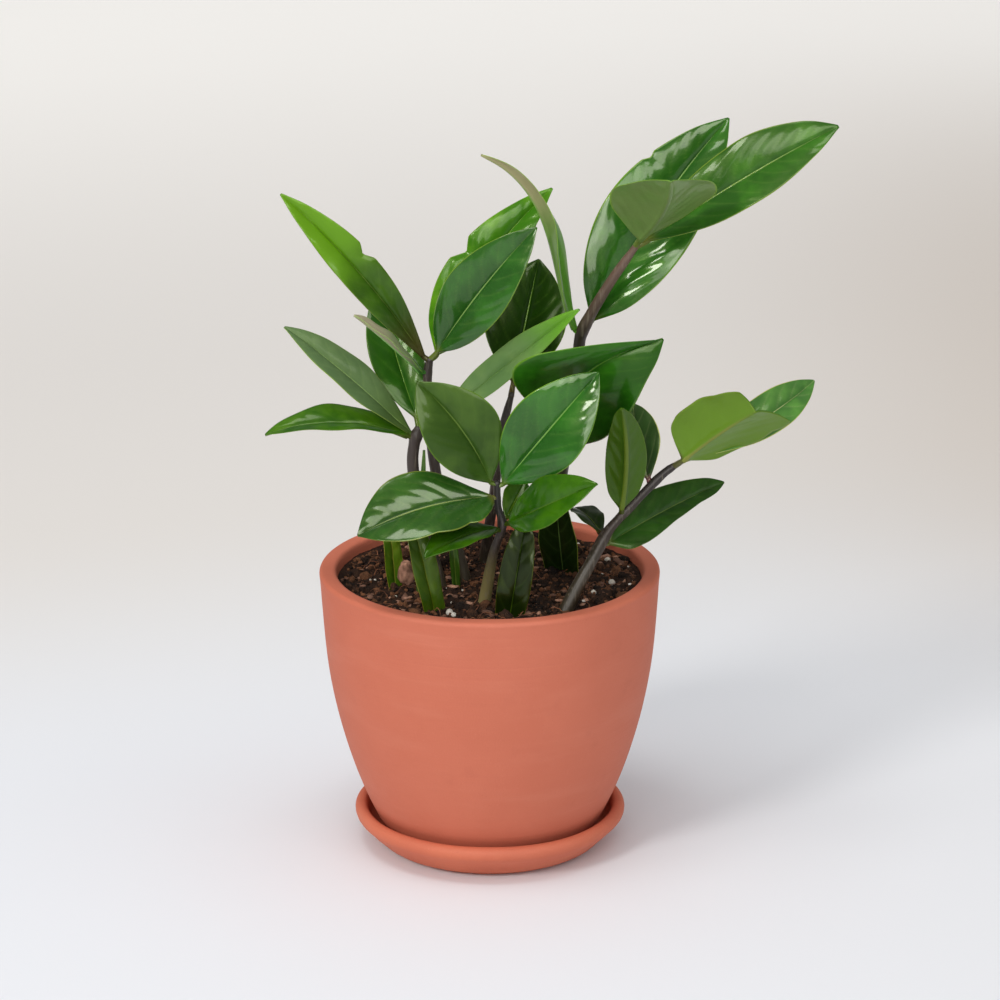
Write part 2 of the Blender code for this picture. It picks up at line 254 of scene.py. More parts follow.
class Wiring:
    """Adds nodes to a shader tree and links them."""

    def __init__(self, tree: bpy.types.NodeTree) -> None:
        """Starts on an existing tree."""
        self.tree = tree

    def add(self, kind: str, **settings: object) -> bpy.types.Node:
        """Adds a node.

        Args:
            kind: Blender's name for the kind of node.
            settings: properties to set on it.

        Returns:
            The node.
        """
        node = self.tree.nodes.new(kind)
        for name, value in settings.items():
            setattr(node, name, value)
        return node

    def feed(self, socket: bpy.types.NodeSocket, value: object) -> None:
        """Gives a socket its value.

        Args:
            socket: the input to fill.
            value: an output socket to link from, or else a fixed value.
        """
        if isinstance(value, bpy.types.NodeSocket):
            self.tree.links.new(value, socket)
        elif isinstance(value, tuple) and len(value) == 3 and socket.type == "RGBA":
            socket.default_value = (*value, 1)
        else:
            socket.default_value = value

    def math(self, operation: str, first: object, second: object = 0.0,
             third: object = 0.0) -> bpy.types.NodeSocket:
        """Adds a Math node.

        Args:
            operation: Blender's name for the sum.
            first: first number or socket.
            second: second number or socket.
            third: third number or socket, for sums that need one.

        Returns:
            The result's socket.
        """
        node = self.add("ShaderNodeMath", operation=operation)
        for socket, value in zip(node.inputs, (first, second, third)):
            self.feed(socket, value)
        return node.outputs[0]

    def ease(self, value: object, low: float, high: float, start: float = 0.0,
             end: float = 1.0) -> bpy.types.NodeSocket:
        """Maps a value from one range to another along an S-shaped slope.

        Args:
            value: number or socket to map.
            low: value that gives start.
            high: value that gives end.
            start: result at and below low.
            end: result at and above high.

        Returns:
            The result's socket.
        """
        node = self.add("ShaderNodeMapRange", interpolation_type="SMOOTHSTEP")
        for name, given in zip(("Value", "From Min", "From Max", "To Min", "To Max"),
                               (value, low, high, start, end)):
            self.feed(node.inputs[name], given)
        return node.outputs[0]

    def blend(self, share: object, first: object, second: object,
              mode: str = "MIX") -> bpy.types.NodeSocket:
        """Mixes two colours.

        Args:
            share: how much of the second, from 0 to 1.
            first: colour or socket.
            second: colour or socket.
            mode: Blender's name for the way that they mix.

        Returns:
            The mixed colour's socket.
        """
        node = self.add("ShaderNodeMix", data_type="RGBA", blend_type=mode)
        self.feed(node.inputs[0], share)
        self.feed(node.inputs[6], first)
        self.feed(node.inputs[7], second)
        return node.outputs[2]

    def speckle(self, scale: float, detail: float = 2.0, roughness: float = 0.5,
                distortion: float = 0.0, vector: object = None) -> bpy.types.NodeSocket:
        """Adds noise in the piece's own space.

        Args:
            scale: features to the metre.
            detail: how many finer layers it has.
            roughness: strength of the finer layers.
            distortion: how far the pattern is twisted.
            vector: position to read it at, or None for the position on the piece.

        Returns:
            The socket of a number from 0 to 1.
        """
        node = self.add("ShaderNodeTexNoise")
        self.feed(node.inputs["Vector"], self.place() if vector is None else vector)
        self.feed(node.inputs["Scale"], scale)
        self.feed(node.inputs["Detail"], detail)
        self.feed(node.inputs["Roughness"], roughness)
        self.feed(node.inputs["Distortion"], distortion)
        return node.outputs[0]

    def place(self) -> bpy.types.NodeSocket:
        """The position on the piece, in metres."""
        return self.add("ShaderNodeTexCoord").outputs["Object"]

    def stretched(self, scale: Colour) -> bpy.types.NodeSocket:
        """The position with each axis multiplied, so that a pattern runs along an axis.

        Args:
            scale: factor on each axis.

        Returns:
            The stretched position's socket.
        """
        node = self.add("ShaderNodeVectorMath", operation="MULTIPLY")
        self.feed(node.inputs[0], self.place())
        node.inputs[1].default_value = scale
        return node.outputs[0]

    def read(self, label: str) -> bpy.types.NodeSocket:
        """A named number stored at the mesh's corners."""
        return self.add("ShaderNodeAttribute", attribute_name=label).outputs["Fac"]


class PatternGroup:
    """A shader node group with named inputs and outputs, which several materials share."""

    name = "pattern"
    colours: tuple[str, ...] = ()
    numbers: tuple[str, ...] = ()

    @classmethod
    def tree(cls) -> bpy.types.NodeTree:
        """The group, built the first time that it is asked for.

        Returns:
            The node group.
        """
        tree = bpy.data.node_groups.get(cls.name)
        if tree is not None:
            return tree
        tree = bpy.data.node_groups.new(cls.name, "ShaderNodeTree")
        for name in cls.colours:
            tree.interface.new_socket(name, in_out="INPUT", socket_type="NodeSocketColor")
        for name in cls.numbers:
            tree.interface.new_socket(name, in_out="INPUT", socket_type="NodeSocketFloat")
        tree.interface.new_socket("Colour", in_out="OUTPUT", socket_type="NodeSocketColor")
        tree.interface.new_socket("Roughness", in_out="OUTPUT", socket_type="NodeSocketFloat")
        tree.interface.new_socket("Relief", in_out="OUTPUT", socket_type="NodeSocketFloat")
        wires = Wiring(tree)
        given = wires.add("NodeGroupInput").outputs
        ends = wires.add("NodeGroupOutput").inputs
        for name, socket in zip(("Colour", "Roughness", "Relief"), cls.wire(wires, given)):
            wires.feed(ends[name], socket)
        return tree

    @classmethod
    def wire(cls, wires: Wiring, given: bpy.types.NodeInputs) -> tuple:
        """Builds the pattern.

        Args:
            wires: the group's wiring.
            given: the group's inputs.

        Returns:
            The colour, roughness and relief sockets.
        """
        raise NotImplementedError


class LeafPattern(PatternGroup):
    """Leaf skin: mottled upper side, paler underside, pale midrib, a margin line of painted light, fading
    ends and a per-leaf colour factor that is partly painted light and shade.
    """

    name = "leaf_pattern"
    colours = ("Upper", "Fresh", "Under", "Vein", "Margin", "Foot", "Tip")
    numbers = ("Gloss", "Foot End", "Tip Start", "Freshness")

    @classmethod
    def wire(cls, wires: Wiring, given: bpy.types.NodeInputs) -> tuple:
        """Layers the leaf's tones from its midrib to its margin.

        Args:
            wires: the group's wiring.
            given: the group's inputs.

        Returns:
            The colour, roughness and relief sockets.
        """
        along, reach = wires.read("along"), wires.read("reach")
        across, under = wires.read("across"), wires.read("under")
        mottle = wires.speckle(55, detail=3, roughness=0.6)
        fresh = wires.math("MULTIPLY", wires.ease(mottle, 0.4, 0.68), given["Freshness"])
        skin = wires.blend(fresh, given["Upper"], given["Fresh"])
        groove = wires.math("MULTIPLY", wires.read("groove"), 0.09)
        skin = wires.blend(groove, skin, given["Vein"])
        skin = wires.blend(under, skin, wires.blend(wires.math("MULTIPLY", fresh, 0.4), given["Under"],
                                                    given["Fresh"]))
        tip = wires.ease(wires.math("ADD", along, wires.math("MULTIPLY", mottle, 0.12)),
                         given["Tip Start"], wires.math("ADD", given["Tip Start"], 0.35))
        skin = wires.blend(tip, skin, given["Tip"])
        foot = wires.ease(along, -0.02, given["Foot End"], 1.0, 0.0)
        skin = wires.blend(foot, skin, given["Foot"])
        rib = wires.math("MULTIPLY", wires.ease(reach, 0.00022, 0.0006, 1.0, 0.0),
                         wires.ease(along, 0.55, 1.0, 0.85, 0.15))
        skin = wires.blend(rib, skin, given["Vein"])
        # Painted light: a pale yellow-green line along the edge stands for light shining through the thin
        # margin.
        lit_margin = wires.math("MULTIPLY", wires.ease(across, 0.955, 0.995), 0.75)
        skin = wires.blend(lit_margin, skin, given["Margin"])
        # Per-leaf colour factor: partly the leaf's own tone and partly painted light and shade, lighter or
        # darker as each leaf is lit.
        tone_and_painted_light = wires.add("ShaderNodeAttribute", attribute_name="tone_and_painted_light").outputs["Color"]
        skin = wires.blend(1.0, skin, tone_and_painted_light, "MULTIPLY")
        fine = wires.speckle(1500, detail=1)
        rough = wires.math("MULTIPLY_ADD", wires.speckle(140, detail=2), 0.14, given["Gloss"])
        rough = wires.math("ADD", rough, wires.math("MULTIPLY", under, 0.16))
        relief = wires.math("ADD", wires.math("MULTIPLY", fine, 0.25), wires.speckle(420, detail=2))
        return skin, rough, relief


class StalkPattern(PatternGroup):
    """Stalk skin: three tones up its height, with streaks and specks along it."""

    name = "stalk_pattern"
    colours = ("Low", "Middle", "High", "Speck")
    numbers = ("Gloss", "Low End", "High Start")

    @classmethod
    def wire(cls, wires: Wiring, given: bpy.types.NodeInputs) -> tuple:
        """Fades the tones into each other and lays streaks over them.

        Args:
            wires: the group's wiring.
            given: the group's inputs.

        Returns:
            The colour, roughness and relief sockets.
        """
        streak = wires.speckle(1.0, detail=3, vector=wires.stretched((900, 900, 90)))
        along = wires.math("ADD", wires.read("along"), wires.math("MULTIPLY", streak, 0.1))
        low = wires.ease(along, given["Low End"], wires.math("ADD", given["Low End"], 0.22))
        skin = wires.blend(low, given["Low"], given["Middle"])
        high = wires.ease(along, given["High Start"], wires.math("ADD", given["High Start"], 0.3))
        skin = wires.blend(high, skin, given["High"])
        skin = wires.blend(wires.ease(streak, 0.52, 0.8, 0.0, 0.55), skin, given["Speck"])
        rough = wires.math("MULTIPLY_ADD", streak, 0.2, given["Gloss"])
        return skin, rough, streak


class ClayPattern(PatternGroup):
    """Fired clay: cloudy tone, fine grain, turning lines and pale bloom, darker where it has worn."""

    name = "clay_pattern"
    colours = ("Clay", "Cloud", "Bloom", "Deep")
    numbers = ("Gloss",)

    @classmethod
    def wire(cls, wires: Wiring, given: bpy.types.NodeInputs) -> tuple:
        """Lays cloud, bloom and grain over the clay.

        Args:
            wires: the group's wiring.
            given: the group's inputs.

        Returns:
            The colour, roughness and relief sockets.
        """
        cloud = wires.speckle(22, detail=4, roughness=0.62, distortion=0.4)
        wiped = wires.speckle(1.0, detail=3, vector=wires.stretched((18, 18, 85)))
        fine = wires.speckle(1300, detail=2, roughness=0.7)
        specks = wires.speckle(2600, detail=1)
        turned = wires.speckle(1.0, detail=2, vector=wires.stretched((4, 4, 620)))
        skin = wires.blend(wires.ease(cloud, 0.38, 0.66, 0.0, 0.5), given["Clay"], given["Cloud"])
        skin = wires.blend(wires.ease(wiped, 0.5, 0.75, 0.0, 0.25), skin, given["Bloom"])
        skin = wires.blend(wires.ease(wires.speckle(70, detail=4), 0.6, 0.78, 0.0, 0.15), skin,
                           given["Deep"])
        skin = wires.blend(wires.ease(specks, 0.66, 0.78, 0.0, 0.35), skin, given["Deep"])
        skin = wires.blend(wires.ease(fine, 0.6, 0.75, 0.0, 0.25), skin, given["Bloom"])
        rough = wires.math("MULTIPLY_ADD", cloud, 0.14, given["Gloss"])
        relief = wires.math("ADD", wires.math("MULTIPLY", turned, 0.9),
                            wires.math("MULTIPLY", fine, 0.55))
        return skin, rough, relief


class CrumbPattern(PatternGroup):
    """Loose matter: a light and a dark tone in grains, with a third in flecks."""

    name = "crumb_pattern"
    colours = ("Dark", "Light", "Fleck")
    numbers = ("Gloss",)

    @classmethod
    def wire(cls, wires: Wiring, given: bpy.types.NodeInputs) -> tuple:
        """Mixes the grains.

        Args:
            wires: the group's wiring.
            given: the group's inputs.

        Returns:
            The colour, roughness and relief sockets.
        """
        lumps = wires.speckle(260, detail=4, roughness=0.65)
        fine = wires.speckle(1500, detail=3, roughness=0.7)
        tone = wires.math("MULTIPLY_ADD", wires.read("tone"), 0.45, wires.math("MULTIPLY", lumps, 0.55))
        skin = wires.blend(wires.ease(tone, 0.25, 0.8), given["Dark"], given["Light"])
        skin = wires.blend(wires.ease(fine, 0.58, 0.72, 0.0, 0.6), skin, given["Fleck"])
        rough = wires.math("MULTIPLY_ADD", fine, 0.1, given["Gloss"])
        return skin, rough, wires.math("ADD", lumps, fine)


@dataclass(frozen=True)
class Finish:
    """A material: the pattern it wears, with its own colours and numbers, and its gloss."""

    name: str
    pattern: type[PatternGroup]
    colours: tuple[Colour, ...]
    numbers: tuple[float, ...]
    relief: float
    shine: float = 0.5
    shine_tint: Colour = (1.0, 1.0, 1.0)
    coat: float = 0.0
    coat_roughness: float = 0.2

    def material(self) -> bpy.types.Material:
        """The material, made the first time that it is asked for.

        Returns:
            A Principled material that reads its pattern's colour, roughness and relief.
        """
        made = bpy.data.materials.get(self.name + "_finish")
        if made is not None:
            return made
        made = bpy.data.materials.new(self.name + "_finish")
        made.use_nodes = True
        wires = Wiring(made.node_tree)
        shader = made.node_tree.nodes["Principled BSDF"]
        group = wires.add("ShaderNodeGroup", node_tree=self.pattern.tree())
        labels = self.pattern.colours + self.pattern.numbers
        for label, value in zip(labels, self.colours + self.numbers):
            wires.feed(group.inputs[label], value)
        bump = wires.add("ShaderNodeBump")
        bump.inputs["Strength"].default_value = 1.0
        bump.inputs["Distance"].default_value = self.relief
        wires.feed(bump.inputs["Height"], group.outputs["Relief"])
        wires.feed(shader.inputs["Base Color"], group.outputs["Colour"])
        wires.feed(shader.inputs["Roughness"], group.outputs["Roughness"])
        wires.feed(shader.inputs["Normal"], bump.outputs["Normal"])
        shader.inputs["Specular IOR Level"].default_value = self.shine
        shader.inputs["Specular Tint"].default_value = (*self.shine_tint, 1)
        shader.inputs["Coat Weight"].default_value = self.coat
        shader.inputs["Coat Roughness"].default_value = self.coat_roughness
        return made


LEAF_RELIEF = 0.06 * MM
STALK_RELIEF = 0.12 * MM
LEAF_SHINE_TINT = (0.75, 1.0, 0.35)
STALK_SPECK = paint(132, 122, 104)


def leaf_finish(name: str, upper: Colour, fresh: Colour, under: Colour, *,
                vein: Colour = paint(120, 160, 90), lit_margin: Colour = paint(120, 155, 60),
                foot: Colour | None = None, tip: Colour | None = None, gloss: float = 0.24,
                foot_end: float = 0.06, tip_start: float = 1.5, freshness: float = 0.6,
                coat: float = 0.25) -> Finish:
    """A leaf's finish, with the usual rib, margin and gloss unless they are given.

    Args:
        name: name of the finish.
        upper: colour of the upper side.
        fresh: lighter patches on the upper side.
        under: colour of the underside.
        vein: the midrib and the side veins.
        lit_margin: the thin line along the edge, painted light that stands for light shining through the
            thin margin.
        foot: colour where the leaf joins its stalk, or None for the upper colour.
        tip: colour of the far end, or None for the fresh colour.
        gloss: roughness of the upper side.
        foot_end: how far up the blade the foot's colour reaches.
        tip_start: where the tip's colour begins, above 1 for none.
        freshness: how much of the lighter patches shows.
        coat: strength of the waxy layer.

    Returns:
        The finish.
    """
    return Finish(
        name, LeafPattern, (upper, fresh, under, vein, lit_margin, foot or upper, tip or fresh),
        (gloss, foot_end, tip_start, freshness), LEAF_RELIEF, shine=0.3,
        shine_tint=LEAF_SHINE_TINT, coat=coat, coat_roughness=0.1,
    )


STALK_BROWN = paint(74, 58, 50)
STALK_GREEN = paint(88, 104, 48)
DEEP = leaf_finish("deep_leaf", paint(33, 82, 26), paint(56, 120, 36), paint(96, 128, 76),
                   foot=STALK_GREEN)
GLOSSY = leaf_finish("glossy_leaf", paint(30, 78, 26), paint(48, 108, 36), paint(96, 128, 76),
                     foot=STALK_GREEN, gloss=0.2, coat=0.7)
DARK = leaf_finish("dark_leaf", paint(24, 52, 18), paint(34, 72, 24), paint(60, 84, 46),
                   foot=STALK_BROWN)
BRIGHT = leaf_finish("bright_leaf", paint(52, 112, 22), paint(96, 156, 34), paint(106, 140, 70),
                     foot=STALK_GREEN, freshness=0.8)
FRESH_TIP = leaf_finish("fresh_tip_leaf", paint(46, 92, 28), paint(78, 138, 34), paint(106, 140, 70),
                        foot=paint(70, 66, 44), tip=paint(98, 168, 30), tip_start=0.42, foot_end=0.3)
# Painted reflection: the grey-green stands for the sheen of a glossy leaf reflecting its bright
# surroundings, so the real shine is kept low.
PAINTED_SHEEN_GREY = leaf_finish("painted_sheen_grey_leaf", paint(66, 98, 58), paint(84, 116, 68), paint(110, 132, 92),
                         foot=paint(52, 80, 30), gloss=0.42, foot_end=0.45, coat=0.1)
# Painted sheen: the silvery grey-green stands for a grey sheen on a green leaf.
PAINTED_SHEEN_SILVER = leaf_finish("painted_sheen_silver_leaf", paint(92, 128, 82), paint(118, 150, 96), paint(110, 140, 80),
                     foot=paint(70, 116, 44), tip=paint(92, 150, 44), tip_start=0.62, gloss=0.34)
# Painted sheen: the pinkish grey, palest at the tip, stands for a pinkish-white sheen on a green leaf, so
# the real shine is kept low.
PAINTED_SHEEN_PINKISH = leaf_finish("painted_sheen_pinkish_leaf", paint(112, 116, 88), paint(128, 124, 98), paint(134, 124, 106),
                      foot=paint(44, 84, 30), tip=paint(150, 132, 116), tip_start=0.45, foot_end=0.35,
                      gloss=0.4, coat=0.1)
UNDER_OLIVE = leaf_finish("olive_underside_leaf", paint(52, 112, 30), paint(70, 126, 40),
                          paint(98, 122, 72), vein=paint(88, 110, 60), foot=STALK_GREEN, gloss=0.3)
UNDER_LIME = leaf_finish("lime_underside_leaf", paint(60, 120, 30), paint(112, 160, 44),
                         paint(112, 158, 46), vein=paint(150, 160, 84), lit_margin=paint(140, 170, 70),
                         foot=paint(104, 104, 74), gloss=0.3)
UNDER_GREEN = leaf_finish("green_underside_leaf", paint(50, 104, 30), paint(84, 132, 40),
                          paint(78, 122, 40), vein=paint(128, 152, 84), lit_margin=paint(120, 160, 60),
                          foot=paint(84, 92, 56), gloss=0.3)
OLIVE = leaf_finish("olive_leaf", paint(54, 84, 36), paint(82, 112, 56), paint(96, 124, 72),
                    vein=paint(110, 134, 74), foot=STALK_GREEN, gloss=0.3, freshness=0.7)
STRAP = leaf_finish("strap_leaf", paint(70, 124, 40), paint(92, 146, 52), paint(100, 134, 74),
                    tip=paint(142, 136, 116), tip_start=0.5, foot=paint(80, 136, 46), foot_end=0.2,
                    gloss=0.32)
CUT_DARK = leaf_finish("dark_cutting", paint(26, 46, 14), paint(36, 64, 20), paint(50, 78, 32),
                       lit_margin=paint(150, 170, 70), foot=paint(44, 70, 18), foot_end=0.3)
CUT_GREEN = leaf_finish("green_cutting", paint(50, 108, 30), paint(84, 140, 46), paint(84, 120, 56),
                        lit_margin=paint(140, 166, 84), foot=paint(70, 104, 40), foot_end=0.3)

STALK_SLOT = "stem_skin"
LEAF_SLOT = "leaf"
CLAY_SLOT = "terracotta"
SOIL_SLOT = "potting_soil"
BARK_SLOT = "bark"


def stalk_finish(name: str, low: Colour, middle: Colour, high: Colour, low_end: float,
                 high_start: float, gloss: float = 0.42) -> Finish:
    """A stalk's finish in three tones.

    Args:
        name: name of the finish.
        low: colour at the soil.
        middle: colour halfway up.
        high: colour at the top.
        low_end: share of the length at which the low tone ends.
        high_start: share of the length at which the high tone starts.
        gloss: roughness of the skin.

    Returns:
        The finish.
    """
    return Finish(name, StalkPattern, (low, middle, high, STALK_SPECK), (gloss, low_end, high_start),
                  STALK_RELIEF, coat=0.08)


PURPLE_STALK = stalk_finish("purple_stalk", paint(62, 54, 34), paint(56, 44, 38), paint(50, 40, 34),
                            0.2, 0.8)
CREAM_FOOT_STALK = stalk_finish("cream_foot_stalk", paint(128, 118, 72), paint(50, 38, 30),
                                paint(24, 18, 16), 0.3, 0.5)
GREY_STALK = stalk_finish("grey_stalk", paint(46, 36, 14), paint(48, 30, 16), paint(32, 20, 16),
                          0.3, 0.6)
TALL_STALK = stalk_finish("tall_stalk", paint(58, 66, 30), paint(52, 42, 32), paint(100, 76, 62),
                          0.3, 0.72)

TERRACOTTA = Finish("terracotta_clay", ClayPattern,
                    (paint(200, 110, 84), paint(194, 104, 78), paint(210, 128, 104), paint(172, 88, 66)),
                    (0.62,), 0.18 * MM, shine=0.35)
SAUCER_CLAY = Finish("saucer_clay", ClayPattern,
                     (paint(206, 112, 82), paint(196, 102, 76), paint(220, 140, 114),
                      paint(176, 84, 60)),
                     (0.6,), 0.16 * MM, shine=0.35)
SOIL = Finish("crumbled_soil", CrumbPattern, (paint(26, 15, 9), paint(78, 50, 33), paint(96, 64, 44)),
              (0.88,), 0.5 * MM, shine=0.2)
CRUMB = Finish("soil_crumb", CrumbPattern, (paint(24, 15, 10), paint(116, 76, 50), paint(138, 98, 72)),
               (0.85,), 0.3 * MM, shine=0.2)
BARK = Finish("bark_flake", CrumbPattern,
              (paint(96, 66, 52), paint(182, 136, 112), paint(200, 160, 138)),
              (0.78,), 0.3 * MM, shine=0.25)
FIBRE = Finish("coir_fibre", CrumbPattern, (paint(84, 48, 32), paint(160, 102, 68), paint(176, 130, 92)),
               (0.7,), 0.1 * MM, shine=0.3)
PERLITE = Finish("perlite_grain", CrumbPattern,
                 (paint(196, 188, 176), paint(232, 228, 220), paint(160, 146, 130)),
                 (0.8,), 0.2 * MM, shine=0.3)


# ---------------------------------------------------------------- leaves


class Side(Enum):
    """A half of a leaf, seen from its upper side with the tip pointing away."""

    LEFT = -1
    RIGHT = 1


@dataclass(frozen=True)
class Notch:
    """A bite in the margin: where along the blade, on which half, how deep and how wide (shares)."""

    along: float
    side: Side
    depth: float
    width: float


@dataclass(frozen=True)
class BladeFrame:
    """The midrib and both margins of a CAD leaf blade at evenly spaced stations."""

    middle: np.ndarray
    left: np.ndarray
    right: np.ndarray

    STATION_POINTS = 6
    NARROW = 2 * MM

    @classmethod
    def read(cls, node: bpy.types.Object) -> "BladeFrame":
        """Finds a blade's stations, which have two corners on the midrib and two on each margin.

        Args:
            node: the CAD blade.

        Returns:
            The blade's lines, from its foot to its tip.
        """
        points = corners(node)
        gaps = np.linalg.norm(points[:, None] - points[None], axis=2)
        first, last = np.unravel_index(gaps.argmax(), gaps.shape)
        axis = points[last] - points[first]
        for _ in range(3):
            rows = points[np.argsort(points @ axis)].reshape(-1, cls.STATION_POINTS, 3)
            centres = rows.mean(axis=1)
            axis = centres[-1] - centres[0]
        spreads = np.linalg.norm(rows - centres[:, None], axis=2).max(axis=1)
        if spreads[0] < spreads[-1]:
            rows, centres, spreads = rows[::-1], centres[::-1], spreads[::-1]
        widest = int(spreads.argmax())
        sides: list = [None] * len(rows)
        order = [widest, *range(widest + 1, len(rows)), *range(widest - 1, -1, -1)]
        for index in order:
            near = sides[index - 1] if index > widest else sides[min(index + 1, len(rows) - 1)]
            main = np.linalg.svd(rows[index] - centres[index])[2][0]
            if near is not None:
                main = main if spreads[index] > cls.NARROW else near
                main = main * (1 if main @ near > 0 else -1)
            sides[index] = main
        lines = np.array([row[np.argsort(row @ side)].reshape(3, 2, 3).mean(axis=1)
                          for row, side in zip(rows, sides)])
        left, middle, right = lines[:, 0], lines[:, 1], lines[:, 2]
        forward = middle[-1] - middle[0]
        fold = (left[widest] + right[widest]) / 2 - middle[widest]
        if np.cross(forward, fold) @ (right[widest] - left[widest]) < 0:
            left, right = right, left
        return cls(middle, left, right)


@dataclass(frozen=True)
class Leaf:
    """One leaf blade that stands for the CAD node of its name.

    trim holds a factor on the CAD width at the foot, the quarters and the tip of the left half and
    of the right half. camber is how far each half bows, as a share of its width. quilt is the
    height of the swellings between the side veins, and wave that of the margin's ripple. end is
    the share of the CAD length at which the blade stops, and the colour factor holds both the leaf's
    own tone and painted light and shade, lighter or darker as each leaf is lit.
    """

    name: str
    finish: Finish
    stem: str | None = None
    trim_left: tuple[float, ...] = (1, 1, 1, 1, 1)
    trim_right: tuple[float, ...] = (1, 1, 1, 1, 1)
    camber: float = 0.1
    quilt: float = 0.28 * MM
    wave: float = 0.5 * MM
    waves: float = 2.5
    vein_gap: float = 8.5 * MM
    end: float = 1.0
    tone_and_painted_light: Colour = (1.0, 1.0, 1.0)
    notches: tuple[Notch, ...] = ()
    rib_thickness: float = 1.0 * MM
    edge_thickness: float = 0.4 * MM

    ROWS = 84
    COLUMNS = 41
    FOOT_ROWS = 9
    PETIOLE = 1.05 * MM
    VEIN_LEAN = 0.75
    VEIN_SWEEP = 0.75
    VEIN_WIDTH = 0.12
    TROUGH_DEPTH, TROUGH_WIDTH = 0.35 * MM, 0.9 * MM
    RIB_HEIGHT, RIB_WIDTH = 0.45 * MM, 0.8 * MM
    NECK_LENGTH = 0.12

    @property
    def seed(self) -> float:
        """A number that differs from leaf to leaf and stays the same from run to run."""
        return sum(ord(letter) * (place + 3) for place, letter in enumerate(self.name)) % 97 / 7

    def width_factor(self, along: np.ndarray, side: Side) -> np.ndarray:
        """How much wider or narrower than the CAD blade one half is.

        Args:
            along: shares of the length, from foot to tip.
            side: which half.

        Returns:
            A factor on the width for each share.
        """
        trim = self.trim_left if side is Side.LEFT else self.trim_right
        factor = np.interp(along, np.linspace(0, 1, len(trim)), trim)
        for notch in self.notches:
            if notch.side is side:
                near = np.clip(1 - np.abs(along - notch.along) / notch.width, 0, 1)
                factor = factor - notch.depth * near
        return factor

    def quilting(self, bare: np.ndarray, along: np.ndarray, across: np.ndarray, width: np.ndarray,
                 length: float) -> tuple[np.ndarray, np.ndarray]:
        """The swellings between the side veins.

        Args:
            bare: grid of points of the smooth blade.
            along: share of the length at each row.
            across: share of the half width at each column, below 0 on the left.
            width: half width at each row and column.
            length: the blade's length.

        Returns:
            The height of the swellings, and how deep each point lies in a vein's groove.
        """
        depth = np.abs(across)[None]
        reach = width * depth
        lean = reach * self.VEIN_LEAN + reach**2 / np.maximum(width, MM) * self.VEIN_SWEEP
        phase = (along[:, None] * length - lean) / self.vein_gap + self.seed
        phase += 0.35 * grain(bare, 14 * MM, self.seed) + np.where(across[None] < 0, 0.4, 0.0)
        off_vein = np.abs(phase - np.round(phase)) * 2
        groove = np.exp(-((off_vein / self.VEIN_WIDTH) ** 2))
        inside = smooth_step(0.0, 0.16, depth) * smooth_step(0.0, 0.3, 1 - depth)
        ends = smooth_step(0.02, 0.18, along) * smooth_step(0.0, 0.12, 1 - along)
        inside = inside * ends[:, None]
        strength = 0.6 + 0.7 * grain(bare, 22 * MM, self.seed + 1)
        swell = (np.sin(np.pi * off_vein / 2) - 0.75) * strength + grain(bare, 9 * MM, self.seed + 2)
        return self.quilt * swell * inside, groove * inside

    def sheet(self, frame: BladeFrame) -> tuple[np.ndarray, ...]:
        """The blade's middle surface.

        Args:
            frame: the blade's lines.

        Returns:
            Its points, its upward directions, each point's distance from the midrib, its share
            along and across the blade, and how deep it lies in a side vein's groove.
        """
        along, across = np.linspace(0, 1, self.ROWS), np.linspace(-1, 1, self.COLUMNS)
        spot = along * self.end
        middle = follow(frame.middle, spot)
        halves = {side: follow(edge - frame.middle, spot) * self.width_factor(along, side)[:, None]
                  for side, edge in ((Side.LEFT, frame.left), (Side.RIGHT, frame.right))}
        forward = unit(np.gradient(middle, axis=0))
        up = unit(np.cross(unit(halves[Side.RIGHT] - halves[Side.LEFT]), forward))
        half = np.where(across[None, :, None] < 0, halves[Side.LEFT][:, None],
                        halves[Side.RIGHT][:, None])
        width = np.linalg.norm(half, axis=2)
        depth = np.abs(across)[None]
        reach = width * depth
        bow = self.camber * width * 4 * depth * (1 - depth * 0.75)
        bare = middle[:, None] + half * depth[..., None] + up[:, None] * bow[..., None]

        swell, groove = self.quilting(bare, along, across, width, np.linalg.norm(middle[-1] - middle[0]))
        turns = self.waves * along[:, None] + self.seed + across[None] * 0.2
        ripple = self.wave * np.sin(2 * np.pi * turns) * depth**2.5 * np.sin(np.pi * along)[:, None]
        trough = self.TROUGH_DEPTH * np.exp(-((reach / self.TROUGH_WIDTH) ** 2))
        trough = trough * smooth_step(0.0, 0.1, along)[:, None]
        points = bare + up[:, None] * (swell + ripple - trough)[..., None]
        rows = np.repeat(along[:, None], self.COLUMNS, 1)
        columns = np.repeat(across[None], self.ROWS, 0)
        return points, up, reach, rows, columns, groove

    def foot(self, frame: BladeFrame, stalks: dict[str, "Stalk"]) -> np.ndarray:
        """The centre line of the short round stalk between the blade and its stem.

        Args:
            frame: the blade's lines.
            stalks: the stalks by name, one of which carries this leaf.

        Returns:
            One point to a row, with the blade's end last.
        """
        base = frame.middle[0]
        root = stalks[self.stem].nearest(base)
        lead = base - unit(frame.middle[1] - base) * np.linalg.norm(base - root) * 0.5
        share = np.linspace(0, 1, self.FOOT_ROWS, endpoint=False)[:, None]
        return (1 - share) ** 2 * root + 2 * share * (1 - share) * lead + share**2 * base

